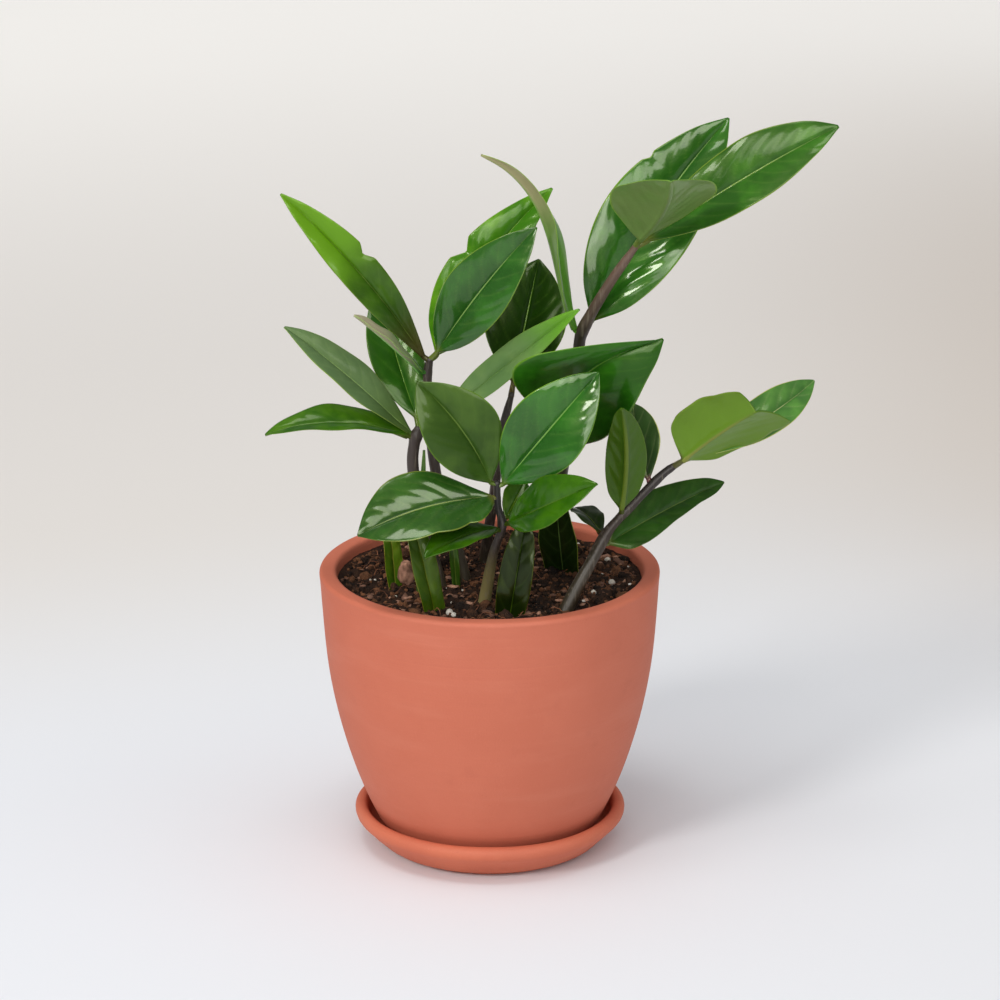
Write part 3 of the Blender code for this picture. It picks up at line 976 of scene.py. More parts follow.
    def build(self, nodes: dict[str, bpy.types.Object], stalks: dict[str, "Stalk"]) -> bpy.types.Object:
        """Makes the closed blade and dresses it.

        Args:
            nodes: the CAD nodes by name.
            stalks: the stalks by name, one of which carries this leaf.

        Returns:
            The leaf, fixed in place of its CAD node.
        """
        frame = BladeFrame.read(nodes[self.name])
        points, up, reach, along, across, groove = self.sheet(frame)
        side = unit(np.gradient(points, axis=1))
        ahead = unit(np.gradient(points, axis=0))
        normal = unit(np.cross(side, ahead))
        depth = np.abs(across)
        round_off = np.sqrt(np.clip(1 - depth**4, 0, 1))
        thick = self.edge_thickness + (self.rib_thickness - self.edge_thickness) * (1 - depth) ** 1.5
        if self.stem:
            neck = 1 - smooth_step(0.0, self.NECK_LENGTH, along)
            round_neck = 2 * self.PETIOLE * np.sqrt(np.clip(1 - depth**2, 0.02, 1))
            thick = thick * (1 - neck) + neck * round_neck
        thick = thick * (0.45 + 0.55 * round_off)
        rib = self.RIB_HEIGHT * np.exp(-((reach / self.RIB_WIDTH) ** 2))
        rib = rib * smooth_step(0.0, 0.6, 1 - along)
        top = points + normal * (thick / 2)[..., None]
        bottom = points - normal * (thick / 2 + rib)[..., None]

        if self.stem:
            line = self.foot(frame, stalks)
            sideways = unit(side[0, self.COLUMNS // 2])
            angle = np.arcsin(np.clip(across[0], -1, 1))
            flat = np.sin(angle)[None, :, None] * sideways
            lift = np.cos(angle)[None, :, None] * up[0]
            swell = np.linspace(1.25, 1.0, self.FOOT_ROWS)[:, None, None] * self.PETIOLE
            top = np.concatenate([line[:, None] + (flat + lift) * swell, top])
            bottom = np.concatenate([line[:, None] + (flat - lift) * swell, bottom])
            pad = ((self.FOOT_ROWS, 0), (0, 0))
            before = np.linspace(-0.06, -0.004, self.FOOT_ROWS)[:, None]
            along = np.concatenate([np.repeat(before, self.COLUMNS, 1), along])
            across, groove = np.pad(across, pad), np.pad(groove, pad)
            reach = np.pad(reach, pad, constant_values=5 * MM)
        return self.close(top, bottom, along, np.abs(across), reach, groove)

    def close(self, top: np.ndarray, bottom: np.ndarray, along: np.ndarray, across: np.ndarray,
              reach: np.ndarray, groove: np.ndarray) -> bpy.types.Object:
        """Joins the two faces of the blade round their border.

        Args:
            top: grid of points of the upper face.
            bottom: grid of points of the lower face.
            along: share of the length at each point.
            across: share of the half width at each point.
            reach: distance from the midrib.
            groove: depth in a side vein's groove, from 0 to 1.

        Returns:
            The leaf, fixed in place of its CAD node.
        """
        rows, columns = top.shape[:2]
        count = rows * columns
        grid = np.arange(count).reshape(rows, columns)
        a, b, c, d = grid[:-1, :-1], grid[:-1, 1:], grid[1:, 1:], grid[1:, :-1]
        faces = np.stack([a, b, c, d], -1).reshape(-1, 4).tolist()
        faces += np.stack([d + count, c + count, b + count, a + count], -1).reshape(-1, 4).tolist()
        border = [*grid[0], *grid[1:, -1], *grid[-1, -2::-1], *grid[-2:0:-1, 0]]
        for first, second in zip(border, border[1:] + border[:1]):
            faces.append((int(second), int(first), int(first) + count, int(second) + count))
        under = np.concatenate([np.zeros(count), np.ones(count)])
        twice = {"along": along, "across": across, "reach": reach, "groove": groove}
        values = {name: np.tile(value.ravel(), 2) for name, value in twice.items()}
        points = np.concatenate([top.reshape(-1, 3), bottom.reshape(-1, 3)])
        piece = add_piece(self.name + "_blade", points, faces, self.finish.material(),
                          values={**values, "under": under})
        # The colour factor is partly the leaf's own tone and partly painted light and shade.
        colour = piece.data.attributes.new("tone_and_painted_light", "FLOAT_COLOR", "POINT")
        colour.data.foreach_set("color", np.tile((*self.tone_and_painted_light, 1.0), 2 * count).astype(np.float32))
        return settle(piece, LEAF_SLOT, self.name)


# Blades grow stem by stem from the far left to the front, and the cuttings follow.
# Each leaf's colour factor holds its own tone together with painted light and shade: it lightens leaves
# that stand in light and darkens leaves in shade.
LEAVES = (
    Leaf("far_left_leaf_low", BRIGHT, "far_left_stem", tone_and_painted_light=(0.65, 0.6, 0.4)),
    Leaf("far_left_leaf_middle", PAINTED_SHEEN_GREY, "far_left_stem", tone_and_painted_light=(1.7, 1.35, 1.5), quilt=0.12 * MM),
    Leaf("far_left_leaf_back", DEEP, "far_left_stem", tone_and_painted_light=(0.75, 0.8, 0.3)),
    Leaf("left_leaf_long", FRESH_TIP, "left_stem", tone_and_painted_light=(0.95, 0.74, 0.5),
         notches=(Notch(0.55, Side.RIGHT, 0.3, 0.05),)),
    Leaf("left_leaf_small", PAINTED_SHEEN_PINKISH, "left_stem", tone_and_painted_light=(1.35, 1.6, 1.4), quilt=0.15 * MM),
    Leaf("left_leaf_glossy", GLOSSY, "left_stem", tone_and_painted_light=(1.2, 1.1, 0.8), quilt=0.34 * MM),
    Leaf("left_leaf_behind", BRIGHT, "left_stem", tone_and_painted_light=(1.1, 1.05, 0.35),
         notches=(Notch(0.5, Side.LEFT, 0.3, 0.07),)),
    Leaf("left_leaf_inner", PAINTED_SHEEN_SILVER, "left_stem", tone_and_painted_light=(1.1, 1.05, 0.85), quilt=0.15 * MM),
    Leaf("back_leaf", DARK, "back_stem", tone_and_painted_light=(1.3, 1.3, 0.5)),
    Leaf("tall_leaf_right", DEEP, "tall_stem", tone_and_painted_light=(1.3, 1.05, 0.8),
         trim_left=(1, 0.95, 1, 1.15, 1.35)),
    Leaf("tall_leaf_wide", GLOSSY, "tall_stem", tone_and_painted_light=(1.2, 1.2, 0.65), quilt=0.36 * MM,
         notches=(Notch(0.68, Side.LEFT, 0.1, 0.03),)),
    Leaf("tall_leaf_forward", UNDER_OLIVE, "tall_stem", tone_and_painted_light=(1.15, 1.15, 0.9)),
    Leaf("tall_leaf_curled", STRAP, "tall_stem", tone_and_painted_light=(1.25, 1.25, 0.9), quilt=0.1 * MM),
    Leaf("tall_leaf_low", DEEP, "tall_stem", tone_and_painted_light=(0.75, 0.95, 0.3),
         trim_left=(1, 0.85, 1.25, 1.65, 1.2)),
    Leaf("right_leaf_tip", UNDER_LIME, "right_stem", tone_and_painted_light=(0.7, 0.65, 0.5),
         trim_left=(1, 1, 1.1, 1.3, 1.9), trim_right=(1, 0.95, 0.86, 0.84, 0.9), end=0.88),
    Leaf("right_leaf_behind", DEEP, "right_stem", tone_and_painted_light=(3.4, 1.9, 3.2)),
    Leaf("right_leaf_upright", UNDER_GREEN, "right_stem", tone_and_painted_light=(0.5, 0.5, 0.12)),
    Leaf("right_leaf_upper_back", DARK, "right_stem", tone_and_painted_light=(3.6, 2.1, 3.4)),
    Leaf("right_leaf_low", DEEP, "right_stem", tone_and_painted_light=(0.75, 0.6, 0.5),
         trim_right=(1, 0.85, 0.62, 0.55, 0.8)),
    Leaf("right_leaf_low_back", DARK, "right_stem", tone_and_painted_light=(0.85, 0.6, 0.35)),
    Leaf("front_leaf_left_upright", OLIVE, "front_stem", tone_and_painted_light=(0.68, 0.76, 0.35)),
    Leaf("front_leaf_right_upright", GLOSSY, "front_stem", tone_and_painted_light=(1.1, 1.2, 0.7), quilt=0.36 * MM),
    Leaf("front_leaf_left", GLOSSY, "front_stem", tone_and_painted_light=(1.3, 0.9, 0.7), trim_left=(3.2, 1.4, 1, 1, 1)),
    Leaf("front_leaf_left_low", BRIGHT, "front_stem", tone_and_painted_light=(0.32, 0.36, 0.04)),
    Leaf("front_leaf_right", BRIGHT, "front_stem", tone_and_painted_light=(0.4, 0.47, 0.12)),
    Leaf("front_leaf_behind", BRIGHT, "front_stem", tone_and_painted_light=(0.55, 0.46, 0.1)),
    Leaf("cutting_far_left", CUT_GREEN, tone_and_painted_light=(1.6, 0.85, 0.4)),
    Leaf("cutting_left", CUT_GREEN, tone_and_painted_light=(0.8, 0.48, 0.1)),
    Leaf("cutting_front", CUT_DARK, tone_and_painted_light=(0.3, 0.3, 0.05)),
    Leaf("cutting_middle", CUT_DARK, tone_and_painted_light=(1.2, 1.1, 1)),
    Leaf("cutting_thin", CUT_GREEN, tone_and_painted_light=(0.5, 0.4, 0.2), quilt=0.05 * MM),
    Leaf("cutting_tall_thin", CUT_GREEN, tone_and_painted_light=(0.85, 0.6, 1), quilt=0.05 * MM),
)


# ---------------------------------------------------------------- stalks


def tube(line: np.ndarray, radius: np.ndarray, segments: int) -> tuple[np.ndarray, list]:
    """A closed round tube along a line, with a ring at each of its points and a point at each end.

    Args:
        line: centre points, one to a row.
        radius: radius at each centre point.
        segments: how many corners each ring has.

    Returns:
        Its corner points and its faces.
    """
    ahead = unit(np.gradient(line, axis=0))
    side = np.cross(ahead[0], (0.0, 1.0, 0.05))
    turn = np.linspace(0, 2 * np.pi, segments, endpoint=False)
    rings = []
    for centre, forward, size in zip(line, ahead, radius):
        side = unit(side - forward * (side @ forward))
        up = np.cross(forward, side)
        rings.append(centre + size * (np.cos(turn)[:, None] * side + np.sin(turn)[:, None] * up))
    start = line[:1] - ahead[:1] * radius[0] * 0.4
    end = line[-1:] + ahead[-1:] * radius[-1] * 0.5
    return np.concatenate([*rings, start, end]), stacked_rings(len(line), segments)


@dataclass
class Stalk:
    """A round leaf stalk that stands for the CAD node of its name."""

    name: str
    finish: Finish
    joints: tuple[float, ...] = ()

    RING = 8
    STEPS = 12
    SEGMENTS = 20
    JOINT_SWELL, JOINT_HEIGHT = 0.14, 2.2 * MM

    def read(self, node: bpy.types.Object) -> None:
        """Finds the centre line and radius of the CAD stalk, ring by ring.

        Args:
            node: the CAD stalk.
        """
        points = corners(node)
        rings = points[np.argsort(points[:, 2])].reshape(-1, self.RING, 3)
        centres = rings.mean(axis=1)
        radii = np.linalg.norm(rings - centres[:, None], axis=2).mean(axis=1)
        share = np.linspace(0, 1, (len(rings) - 1) * self.STEPS + 1)
        line = follow(np.column_stack([centres, radii]), share)
        self.line, self.radius = line[:, :3], line[:, 3]

    def nearest(self, point: np.ndarray) -> np.ndarray:
        """The point of the centre line that is nearest to a point, a little lower down."""
        index = int(np.linalg.norm(self.line - point, axis=1).argmin())
        return self.line[max(index - 1, 0)]

    def build(self) -> bpy.types.Object:
        """Makes the stalk with a slight swelling at each leaf and an uneven skin.

        Returns:
            The stalk, fixed in place of its CAD node.
        """
        radius = self.radius * (1 + 0.05 * grain(self.line, 9 * MM, len(self.name)))
        for joint in self.joints:
            off = (self.line[:, 2] - joint) / self.JOINT_HEIGHT
            radius = radius * (1 + self.JOINT_SWELL * np.exp(-(off**2)))
        radius[-6:] *= np.linspace(1, 0.75, 6)
        points, faces = tube(self.line, radius, self.SEGMENTS)
        height = np.linspace(0, 1, len(self.line))
        along = np.concatenate([np.repeat(height, self.SEGMENTS), [0, 1]])
        piece = add_piece(self.name + "_stalk", points, faces, self.finish.material(),
                          values={"along": along})
        return settle(piece, STALK_SLOT, self.name)


STALK_FINISHES = {
    "far_left_stem": PURPLE_STALK,
    "left_stem": PURPLE_STALK,
    "back_stem": PURPLE_STALK,
    "tall_stem": TALL_STALK,
    "right_stem": GREY_STALK,
    "front_stem": CREAM_FOOT_STALK,
}


# ---------------------------------------------------------------- pot and saucer


@dataclass
class TurnedPiece:
    """A turned clay piece that follows the profile of its CAD node."""

    node: str
    finish: Finish
    wobble: float

    SEGMENTS = 160
    SPACING = 1.1 * MM

    def profile(self, node: bpy.types.Object) -> np.ndarray:
        """The CAD piece's outline.

        Args:
            node: the CAD piece.

        Returns:
            (radius, height) rows, from its top centre to its bottom centre.
        """
        mesh = node.data
        on_edge = [v.index for v in mesh.vertices if abs(v.co.y) < 1e-5 and v.co.x > 0.001]
        key = {i: (round(mesh.vertices[i].co.x, 5), round(mesh.vertices[i].co.z, 5)) for i in on_edge}
        links: dict = {}
        for edge in mesh.edges:
            a, b = (key.get(index) for index in edge.vertices)
            if a and b and a != b:
                links.setdefault(a, set()).add(b)
                links.setdefault(b, set()).add(a)
        start = max(links)
        upper, lower = sorted(links[start], key=lambda point: -point[1])
        path = self.walk(links, start, upper)[::-1] + self.walk(links, start, lower)[1:]
        return np.array([(0.0, path[0][1]), *path, (0.0, path[-1][1])])

    @staticmethod
    def walk(links: dict, start: tuple, first: tuple) -> list:
        """Follows the outline until it ends at the axis.

        Args:
            links: each point's neighbours on the outline.
            start: where it sets out.
            first: the neighbour it goes to first.

        Returns:
            The points it passes.
        """
        path = [start, first]
        while ahead := [point for point in links[path[-1]] if point not in path]:
            path.append(ahead[0])
        return path

    def refined(self, path: np.ndarray) -> np.ndarray:
        """The same outline as a smooth curve with evenly small steps.

        Args:
            path: (radius, height) rows.

        Returns:
            Rows about SPACING apart.
        """
        gaps = np.linalg.norm(np.diff(path, axis=0), axis=1)
        slopes = np.diff(path, axis=0) / gaps[:, None]
        inner = slopes[1:] * gaps[1:, None] + slopes[:-1] * gaps[:-1, None]
        inner = inner / (gaps[1:] + gaps[:-1])[:, None]
        slopes = np.vstack([slopes[0], inner, slopes[-1]])
        rows = []
        for index, gap in enumerate(gaps):
            steps = max(int(math.ceil(gap / self.SPACING)), 2)
            t = np.arange(steps)[:, None] / steps
            leaving = (2 * t**3 - 3 * t**2 + 1) * path[index] + (t**3 - 2 * t**2 + t) * gap * slopes[index]
            meeting = (3 * t**2 - 2 * t**3) * path[index + 1] + (t**3 - t**2) * gap * slopes[index + 1]
            rows.append(leaving + meeting)
        return np.vstack([*rows, path[-1:]])

    def build(self, nodes: dict[str, bpy.types.Object]) -> bpy.types.Object:
        """Turns the outline, with the slight unevenness of hand finishing.

        Args:
            nodes: the CAD nodes by name.

        Returns:
            The piece, fixed in place of its CAD node.
        """
        outline = self.refined(self.profile(nodes[self.node]))[1:-1]
        turn = np.linspace(0, 2 * np.pi, self.SEGMENTS, endpoint=False)
        circle = np.column_stack([np.cos(turn), np.sin(turn)])
        points = np.concatenate([
            np.column_stack([circle * radius, np.full(self.SEGMENTS, height)])
            for radius, height in outline
        ])
        outward = np.column_stack([np.tile(circle, (len(outline), 1)), np.zeros(len(points))])
        floor = points[:, 2].min()
        lifted = smooth_step(floor + 1 * MM, floor + 6 * MM, points[:, 2])
        points = points + outward * (self.wobble * lifted * grain(points, 30 * MM, self.wobble))[:, None]
        points[:, 2] += self.wobble * 0.5 * lifted * grain(points, 24 * MM, 3.0)
        points = np.vstack([points, (0, 0, outline[0, 1]), (0, 0, outline[-1, 1])])
        faces = stacked_rings(len(outline), self.SEGMENTS, flipped=True)
        piece = add_piece(self.node + "_clay", points, faces, self.finish.material())
        return settle(piece, CLAY_SLOT, self.node)


# ---------------------------------------------------------------- soil


class Lump(Enum):
    """A kind of loose matter in the soil, with the name of its piece."""

    CRUMB = "soil_crumbs"
    BARK = "bark_bits"
    PERLITE = "perlite"


LUMP_FINISHES = {Lump.CRUMB: CRUMB, Lump.BARK: BARK, Lump.PERLITE: PERLITE}
LUMP_FLATNESS = {Lump.CRUMB: (1.0, 0.85, 0.7), Lump.BARK: (1.3, 0.8, 0.32),
                 Lump.PERLITE: (1.0, 0.9, 0.85)}
LUMP_JAGGEDNESS = {Lump.CRUMB: 0.13, Lump.BARK: 0.13, Lump.PERLITE: 0.06}


@dataclass
class SoilBed:
    """The soil in the pot, with its crumbs, bark, fibres and perlite."""

    crumbs: int = 3400
    clods: int = 150
    bark_bits: int = 330
    grains: int = 30
    fibres: int = 110
    rough: float = 1.7 * MM
    seed: int = 11

    RINGS = 64
    SEGMENTS = 200
    SKIRT = 12 * MM
    FIBRE_POINTS = 9
    FIBRE_SEGMENTS = 5
    # Grains that lie in set places: x, y and radius in millimetres.
    OWN_PERLITE = ((-16, -47, 1.7), (-14.4, -48.5, 1.2), (49, 22, 1.4), (50, -9, 1.6), (42, -23, 1.4),
                   (37, -43, 1.2), (46, 3, 0.9), (-45, -7, 0.9), (38, -31, 0.9))
    OWN_BARK = ((-9, -35, 2.6), (46, 31, 2.4), (54, 19, 2.2), (39, -11, 2.2), (52, 5, 1.9),
                (48, 27, 2.0), (0, -50, 2.2))

    def read(self, node: bpy.types.Object) -> None:
        """Takes the soil's edge radius and its heights from the CAD node.

        Args:
            node: the CAD soil.
        """
        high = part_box(node.name)[1]
        self.edge, self.peak = high.x, high.z
        rim = corners(node)
        self.edge_height = rim[np.hypot(rim[:, 0], rim[:, 1]) > self.edge - 0.2 * MM][:, 2].max()

    def height(self, x: np.ndarray, y: np.ndarray) -> np.ndarray:
        """Height of the bare soil.

        Args:
            x: x of each point.
            y: y of each point.

        Returns:
            The height at each point.
        """
        radius = np.hypot(x, y)
        flat = np.column_stack([x, y, np.zeros_like(x)])
        fall = smooth_step(self.edge / 2, self.edge, radius)
        heap = self.edge_height + (self.peak - self.edge_height) * (1 - fall)
        lumps = grain(flat, 7 * MM, 1.0) + 0.6 * grain(flat, 3 * MM, 2.0)
        lumps += 0.35 * grain(flat, 1.4 * MM, 3.0)
        return heap + self.rough * lumps * (1 - 0.6 * smooth_step(self.edge - 3 * MM, self.edge, radius))

    def build(self) -> bpy.types.Object:
        """Makes the bed: a rough top that is closed by a skirt inside the pot.

        Returns:
            The bed, fixed in place of the CAD soil.
        """
        turn = np.linspace(0, 2 * np.pi, self.SEGMENTS, endpoint=False)
        radii = self.edge * np.sqrt(np.linspace(0.004, 1, self.RINGS))
        x = (radii[:, None] * np.cos(turn)).ravel()
        y = (radii[:, None] * np.sin(turn)).ravel()
        points = np.column_stack([x, y, self.height(x, y)])
        outer = points[-self.SEGMENTS:].copy()
        outer[:, 2] = self.edge_height - self.SKIRT
        outer[:, :2] *= 0.98
        centre_height = points[:self.SEGMENTS, 2].mean()
        middle = np.array([[0, 0, centre_height], [0, 0, self.edge_height - self.SKIRT]])
        points = np.concatenate([points, outer, middle])
        faces = stacked_rings(self.RINGS + 1, self.SEGMENTS, flipped=True)
        tone = np.full(len(points), 0.35)
        piece = add_piece("soil_bed", points, faces, SOIL.material(), values={"tone": tone})
        return settle(piece, SOIL_SLOT, "soil")

    def scatter(self, rng: np.random.Generator, count: int) -> np.ndarray:
        """Random places over the soil's surface.

        Args:
            rng: source of the places.
            count: how many.

        Returns:
            (x, y) rows.
        """
        radius = (self.edge - 2.5 * MM) * np.sqrt(rng.random(count))
        turn = rng.random(count) * 2 * np.pi
        return np.column_stack([radius * np.cos(turn), radius * np.sin(turn)])

    def lumps(self, kind: Lump, places: np.ndarray, sizes: np.ndarray, rng: np.random.Generator,
              slot: str) -> bpy.types.Object:
        """Makes one piece of many separate lumps that lie on the soil.

        Args:
            kind: what the lumps are.
            places: (x, y) rows.
            sizes: radius of each.
            rng: source of their shapes.
            slot: the record's material slot.

        Returns:
            The piece, fixed to the plant.
        """
        shape, sides = round_ball(2)
        heights = self.height(places[:, 0], places[:, 1])
        points, faces, tones = [], [], []
        for index, ((x, y), size, height) in enumerate(zip(places, sizes, heights)):
            turned = Matrix.Rotation(rng.random() * math.tau, 3, Vector(unit(rng.normal(size=3))))
            if kind is Lump.BARK:
                tilt = Matrix.Rotation(rng.normal() * 0.5, 3, "X")
                turned = tilt @ Matrix.Rotation(rng.random() * math.tau, 3, "Z")
            jag = 1 + rng.normal(size=(len(shape), 1)) * LUMP_JAGGEDNESS[kind]
            body = (shape * jag * np.array(LUMP_FLATNESS[kind]) * size) @ np.array(turned).T
            points.append(body + (x, y, height + size * 0.25))
            faces.append(sides + index * len(shape))
            tones.append(np.full(len(shape), rng.random() ** 1.6))
        piece = add_piece(kind.value, np.concatenate(points), np.concatenate(faces).tolist(),
                          LUMP_FINISHES[kind].material(), smooth=kind is not Lump.CRUMB,
                          values={"tone": np.concatenate(tones)})
        return settle(piece, slot)

    def strands(self, rng: np.random.Generator) -> bpy.types.Object:
        """Makes the loose coir fibres that lie over the soil.

        Args:
            rng: source of their places and bends.

        Returns:
            The piece, fixed to the plant.
        """
        points, faces, count = [], [], 0
        places = self.scatter(rng, self.fibres) * 0.94
        for x, y in places:
            heading, bend = rng.random() * math.tau, rng.normal() * 1.6
            length = (4 + 8 * rng.random()) * MM
            share = np.linspace(0, 1, self.FIBRE_POINTS)
            angle = heading + bend * share
            step = np.column_stack([np.cos(angle), np.sin(angle)]) * length / self.FIBRE_POINTS
            line = np.cumsum(step, axis=0) + (x, y)
            scale = np.minimum(1, (self.edge - 2 * MM) / np.maximum(np.hypot(*line.T), 1e-6))
            line = line * scale[:, None]
            lift = 0.4 * MM + rng.random() * 2.4 * MM * np.sin(np.pi * share)
            path = np.column_stack([line, self.height(line[:, 0], line[:, 1]) + lift])
            thickness = np.full(self.FIBRE_POINTS, (0.08 + 0.1 * rng.random()) * MM)
            strand, sides = tube(path, thickness, self.FIBRE_SEGMENTS)
            points.append(strand)
            faces += [tuple(corner + count for corner in side) for side in sides]
            count += len(strand)
        piece = add_piece("coir_fibres", np.concatenate(points), faces, FIBRE.material(),
                          values={"tone": rng.random(count)})
        return settle(piece, SOIL_SLOT)

    def dress(self) -> list[bpy.types.Object]:
        """Lays crumbs, bark, perlite and fibres over the bed.

        Returns:
            The loose pieces.
        """
        rng = np.random.default_rng(self.seed)
        sizes = (0.35 + 1.0 * rng.random(self.crumbs) ** 2) * MM
        sizes[:self.clods] = (1.3 + 1.7 * rng.random(self.clods) ** 1.5) * MM
        made = [self.lumps(Lump.CRUMB, self.scatter(rng, self.crumbs), sizes, rng, SOIL_SLOT)]
        own = np.array(self.OWN_BARK) * MM
        places = np.vstack([own[:, :2], self.scatter(rng, self.bark_bits)])
        sizes = np.concatenate([own[:, 2], (0.5 + 1.4 * rng.random(self.bark_bits) ** 2) * MM])
        made.append(self.lumps(Lump.BARK, places, sizes, rng, BARK_SLOT))
        own = np.array(self.OWN_PERLITE) * MM
        places = np.vstack([own[:, :2], self.scatter(rng, self.grains)])
        sizes = np.concatenate([own[:, 2], (0.35 + 0.6 * rng.random(self.grains)) * MM])
        made.append(self.lumps(Lump.PERLITE, places, sizes, rng, SOIL_SLOT))
        made.append(self.strands(rng))
        return made


@dataclass
class BarkChip:
    """The curled flake of bark that stands on the soil."""

    node: str = "bark_chip"

    def build(self) -> bpy.types.Object:
        """Makes the flake inside its CAD node's box.

        Returns:
            The flake, fixed in place of its CAD node.
        """
        low, high = (np.array(corner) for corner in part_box(self.node))
        shape, faces = round_ball(4)
        curled = shape.copy()
        curled[:, 1] = shape[:, 1] * 0.55 + 0.35 * shape[:, 0] ** 2 - 0.2
        curled[:, 0] *= 1 - 0.25 * shape[:, 2]
        curled *= (1 + 0.16 * grain(shape, 0.5, 2.0) + 0.1 * grain(shape, 0.2, 5.0))[:, None]
        points = (low + high) / 2 + curled * (high - low) / 2
        tone = 0.5 + 0.5 * grain(shape, 0.4, 1.0)
        piece = add_piece("bark_flake", points, faces.tolist(), BARK.material(), values={"tone": tone})
        return settle(piece, BARK_SLOT, self.node)


# ---------------------------------------------------------------- stage


@dataclass(frozen=True)
class SoftBox:
    """A square studio light that looks at a point."""

    name: str
    place: Colour
    aim: Colour
    size: float
    power: float
    colour: Colour = (1.0, 0.98, 0.96)

    def build(self) -> None:
        """Hangs the light."""
        data = bpy.data.lights.new(self.name, "AREA")
        data.size = self.size
        data.energy = self.power
        data.color = self.colour
        lamp = bpy.data.objects.new(self.name, data)
        lamp.location = self.place
        beam = Vector(self.aim) - Vector(self.place)
        lamp.rotation_euler = beam.to_track_quat("-Z", "Y").to_euler()
        bpy.context.scene.collection.objects.link(lamp)


@dataclass(frozen=True)
class Daylight:
    """Even light from one direction, softened over an angle in degrees.

    glossy and diffuse say whether it shows in sheens and whether it lightens matt surfaces.
    """

    name: str
    toward: Colour
    spread: float
    strength: float
    glossy: bool = True
    diffuse: bool = True
    colour: Colour = (1.0, 0.975, 0.94)

    def build(self) -> None:
        """Sets the light."""
        data = bpy.data.lights.new(self.name, "SUN")
        data.angle = math.radians(self.spread)
        data.energy = self.strength
        data.color = self.colour
        lamp = bpy.data.objects.new(self.name, data)
        lamp.rotation_euler = Vector(self.toward).to_track_quat("-Z", "Y").to_euler()
        lamp.visible_glossy = self.glossy
        lamp.visible_diffuse = self.diffuse
        bpy.context.scene.collection.objects.link(lamp)


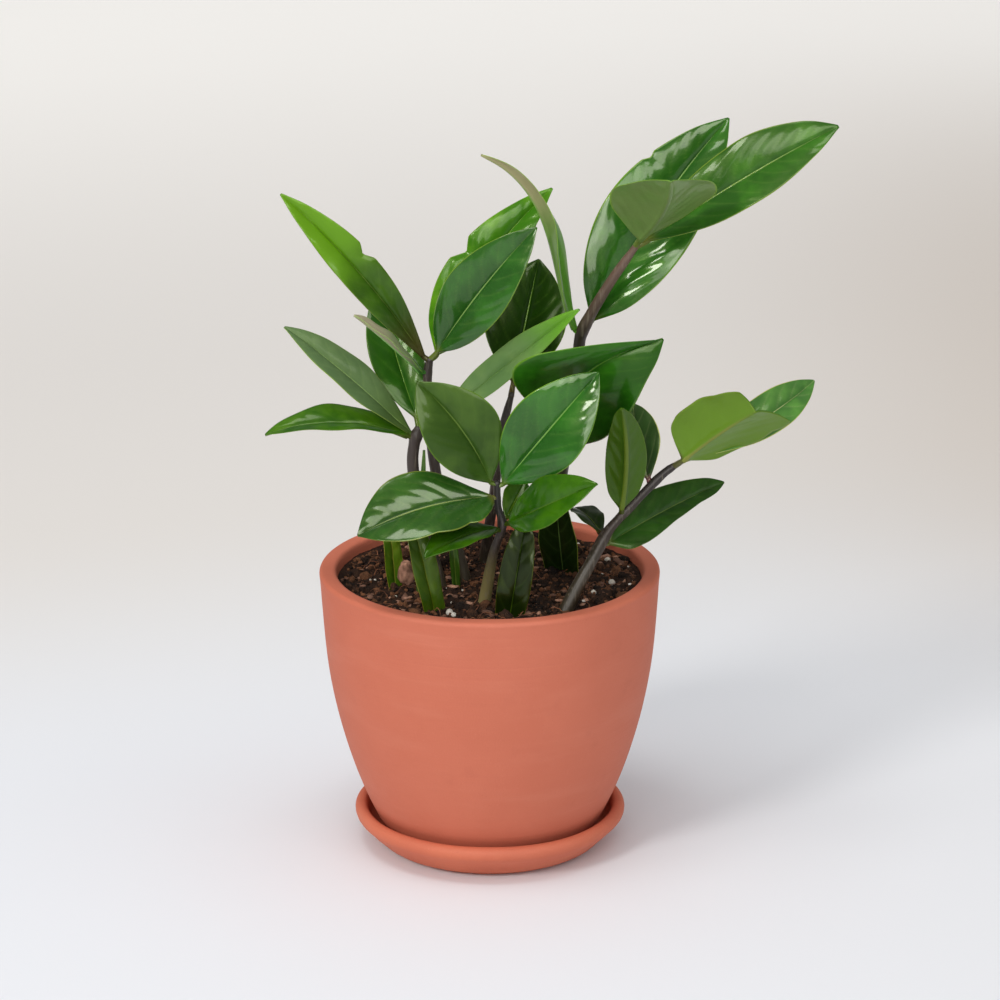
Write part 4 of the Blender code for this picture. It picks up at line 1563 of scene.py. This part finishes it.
@dataclass
class Studio:
    """The pale floor, the soft light and the camera.

    The fades are the distances over which the floor turns from one tone to the next: the near and
    far ones away from the camera, and the right one sideways.
    """

    floor_half: float = 30.0
    lens: float = 150.0
    camera_place: Colour = (0.00418, -1.621, 0.6745)
    camera_pitch: float = 18.0
    world_strength: float = 0.2
    near_floor: Colour = (0.79, 0.815, 0.86)
    middle_floor: Colour = (0.74, 0.715, 0.69)
    # The far tone is painted light that brightens the floor far behind the plant.
    painted_light_far_floor: Colour = (1.0, 0.985, 0.96)
    # The right tone is painted shade on the floor to the plant's right.
    painted_shade_right_floor: Colour = (0.60, 0.545, 0.495)
    lights: tuple = (
        Daylight("key", (0.56, 0.64, -0.55), 14.0, 1.05),
        Daylight("fill", (0.0, 0.2, -1.0), 130.0, 1.3, glossy=False, colour=(1.0, 1.0, 1.0)),
        Daylight("side", (-0.9, 0.3, -0.3), 60.0, 0.3, glossy=False, colour=(1.0, 1.0, 1.0)),
        Daylight("low_glint", (-0.033, 0.939, -0.342), 34.0, 1.25, diffuse=False),
        Daylight("high_glint", (-0.462, 0.711, -0.53), 26.0, 0.9, diffuse=False),
        SoftBox("window", (-0.45, -2.0, 1.15), (0.0, 0.0, 0.2), 0.9, 8.0),
        SoftBox("ceiling", (-0.3, -0.5, 2.4), (0.0, 0.0, 0.1), 0.8, 13.0),
    )

    NEAR_FADE = (0.12, 0.5)
    FAR_FADE = (0.7, 1.9)
    RIGHT_FADE = (0.02, 0.42)
    SLANT = -0.35

    def floor_material(self) -> bpy.types.Material:
        """A white floor that turns to a warmer grey behind the plant, with painted light that brightens it
        far behind and painted shade that darkens it to the plant's right.

        Returns:
            The material.
        """
        made = bpy.data.materials.new("pale_floor")
        made.use_nodes = True
        wires = Wiring(made.node_tree)
        shader = made.node_tree.nodes["Principled BSDF"]
        split = wires.add("ShaderNodeSeparateXYZ")
        wires.feed(split.inputs[0], wires.place())
        depth = wires.math("MULTIPLY_ADD", split.outputs["X"], self.SLANT, split.outputs["Y"])
        tone = wires.blend(wires.ease(depth, *self.NEAR_FADE), self.near_floor, self.middle_floor)
        # Painted light: the far tone brightens the floor far behind the plant.
        tone = wires.blend(wires.ease(depth, *self.FAR_FADE), tone, self.painted_light_far_floor)
        # Painted shade: a darker tone on the floor to the plant's right and behind it.
        rising = wires.ease(split.outputs["Y"], 0.1, 0.45, 0.25, 1.0)
        falling = wires.ease(split.outputs["Y"], 0.7, 1.7, 0.9, 0.02)
        painted_shade_share = wires.math("MULTIPLY", wires.ease(split.outputs["X"], *self.RIGHT_FADE), rising)
        painted_shade_share = wires.math("MULTIPLY", painted_shade_share, falling)
        wires.feed(shader.inputs["Base Color"], wires.blend(painted_shade_share, tone, self.painted_shade_right_floor))
        shader.inputs["Roughness"].default_value = 0.7
        shader.inputs["Specular IOR Level"].default_value = 0.1
        return made

    def build(self) -> None:
        """Sets the floor, the world, the lights and the camera."""
        half = self.floor_half
        points = np.array([(-half, -half, 0), (half, -half, 0), (half, half, 0), (-half, half, 0)])
        floor = add_piece("floor", points, [(0, 1, 2, 3)], self.floor_material(), smooth=False)
        scene = bpy.context.scene
        world = bpy.data.worlds.new("soft_daylight")
        world.use_nodes = True
        sky = world.node_tree.nodes["Background"]
        sky.inputs["Color"].default_value = (1.0, 0.99, 0.98, 1)
        sky.inputs["Strength"].default_value = self.world_strength
        scene.world = world
        for light in self.lights:
            light.build()
        data = bpy.data.cameras.new("camera")
        data.lens = self.lens
        data.sensor_width = 36.0
        data.clip_end = 100.0
        camera = bpy.data.objects.new("camera", data)
        camera.location = self.camera_place
        camera.rotation_euler = (math.radians(90 - self.camera_pitch), 0, 0)
        scene.collection.objects.link(camera)
        scene.camera = camera
        scene.view_settings.view_transform = "Standard"


# ---------------------------------------------------------------- the whole plant


def leaf_joints(nodes: dict[str, bpy.types.Object], stem: str) -> tuple[float, ...]:
    """Heights at which leaves join a stem.

    Args:
        nodes: the CAD nodes by name.
        stem: name of the stem.

    Returns:
        One height, in metres, for each leaf of that stem.
    """
    feet = [BladeFrame.read(nodes[leaf.name]).middle[0] for leaf in LEAVES if leaf.stem == stem]
    return tuple(float(foot[2]) - MM for foot in feet)


def main() -> None:
    """Builds every piece in order."""
    logging.basicConfig(level=logging.INFO, format="%(message)s")
    for thing in list(bpy.data.objects):
        bpy.data.objects.remove(thing)
    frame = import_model()
    nodes = frame["nodes"]

    Studio().build()
    for node, finish, wobble in (("pot", TERRACOTTA, 0.3 * MM), ("saucer", SAUCER_CLAY, 0.35 * MM)):
        LOG.info("built %s", TurnedPiece(node, finish, wobble).build(nodes).name)
    bed = SoilBed()
    bed.read(nodes["soil"])
    LOG.info("built %s", bed.build().name)
    for loose in bed.dress():
        LOG.info("built %s", loose.name)
    LOG.info("built %s", BarkChip().build().name)
    stalks = {name: Stalk(name, finish, leaf_joints(nodes, name))
              for name, finish in STALK_FINISHES.items()}
    for stalk in stalks.values():
        stalk.read(nodes[stalk.name])
        LOG.info("built %s", stalk.build().name)
    for leaf in LEAVES:
        LOG.info("built %s", leaf.build(nodes, stalks).name)

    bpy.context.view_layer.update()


if __name__ == "__main__":
    main()
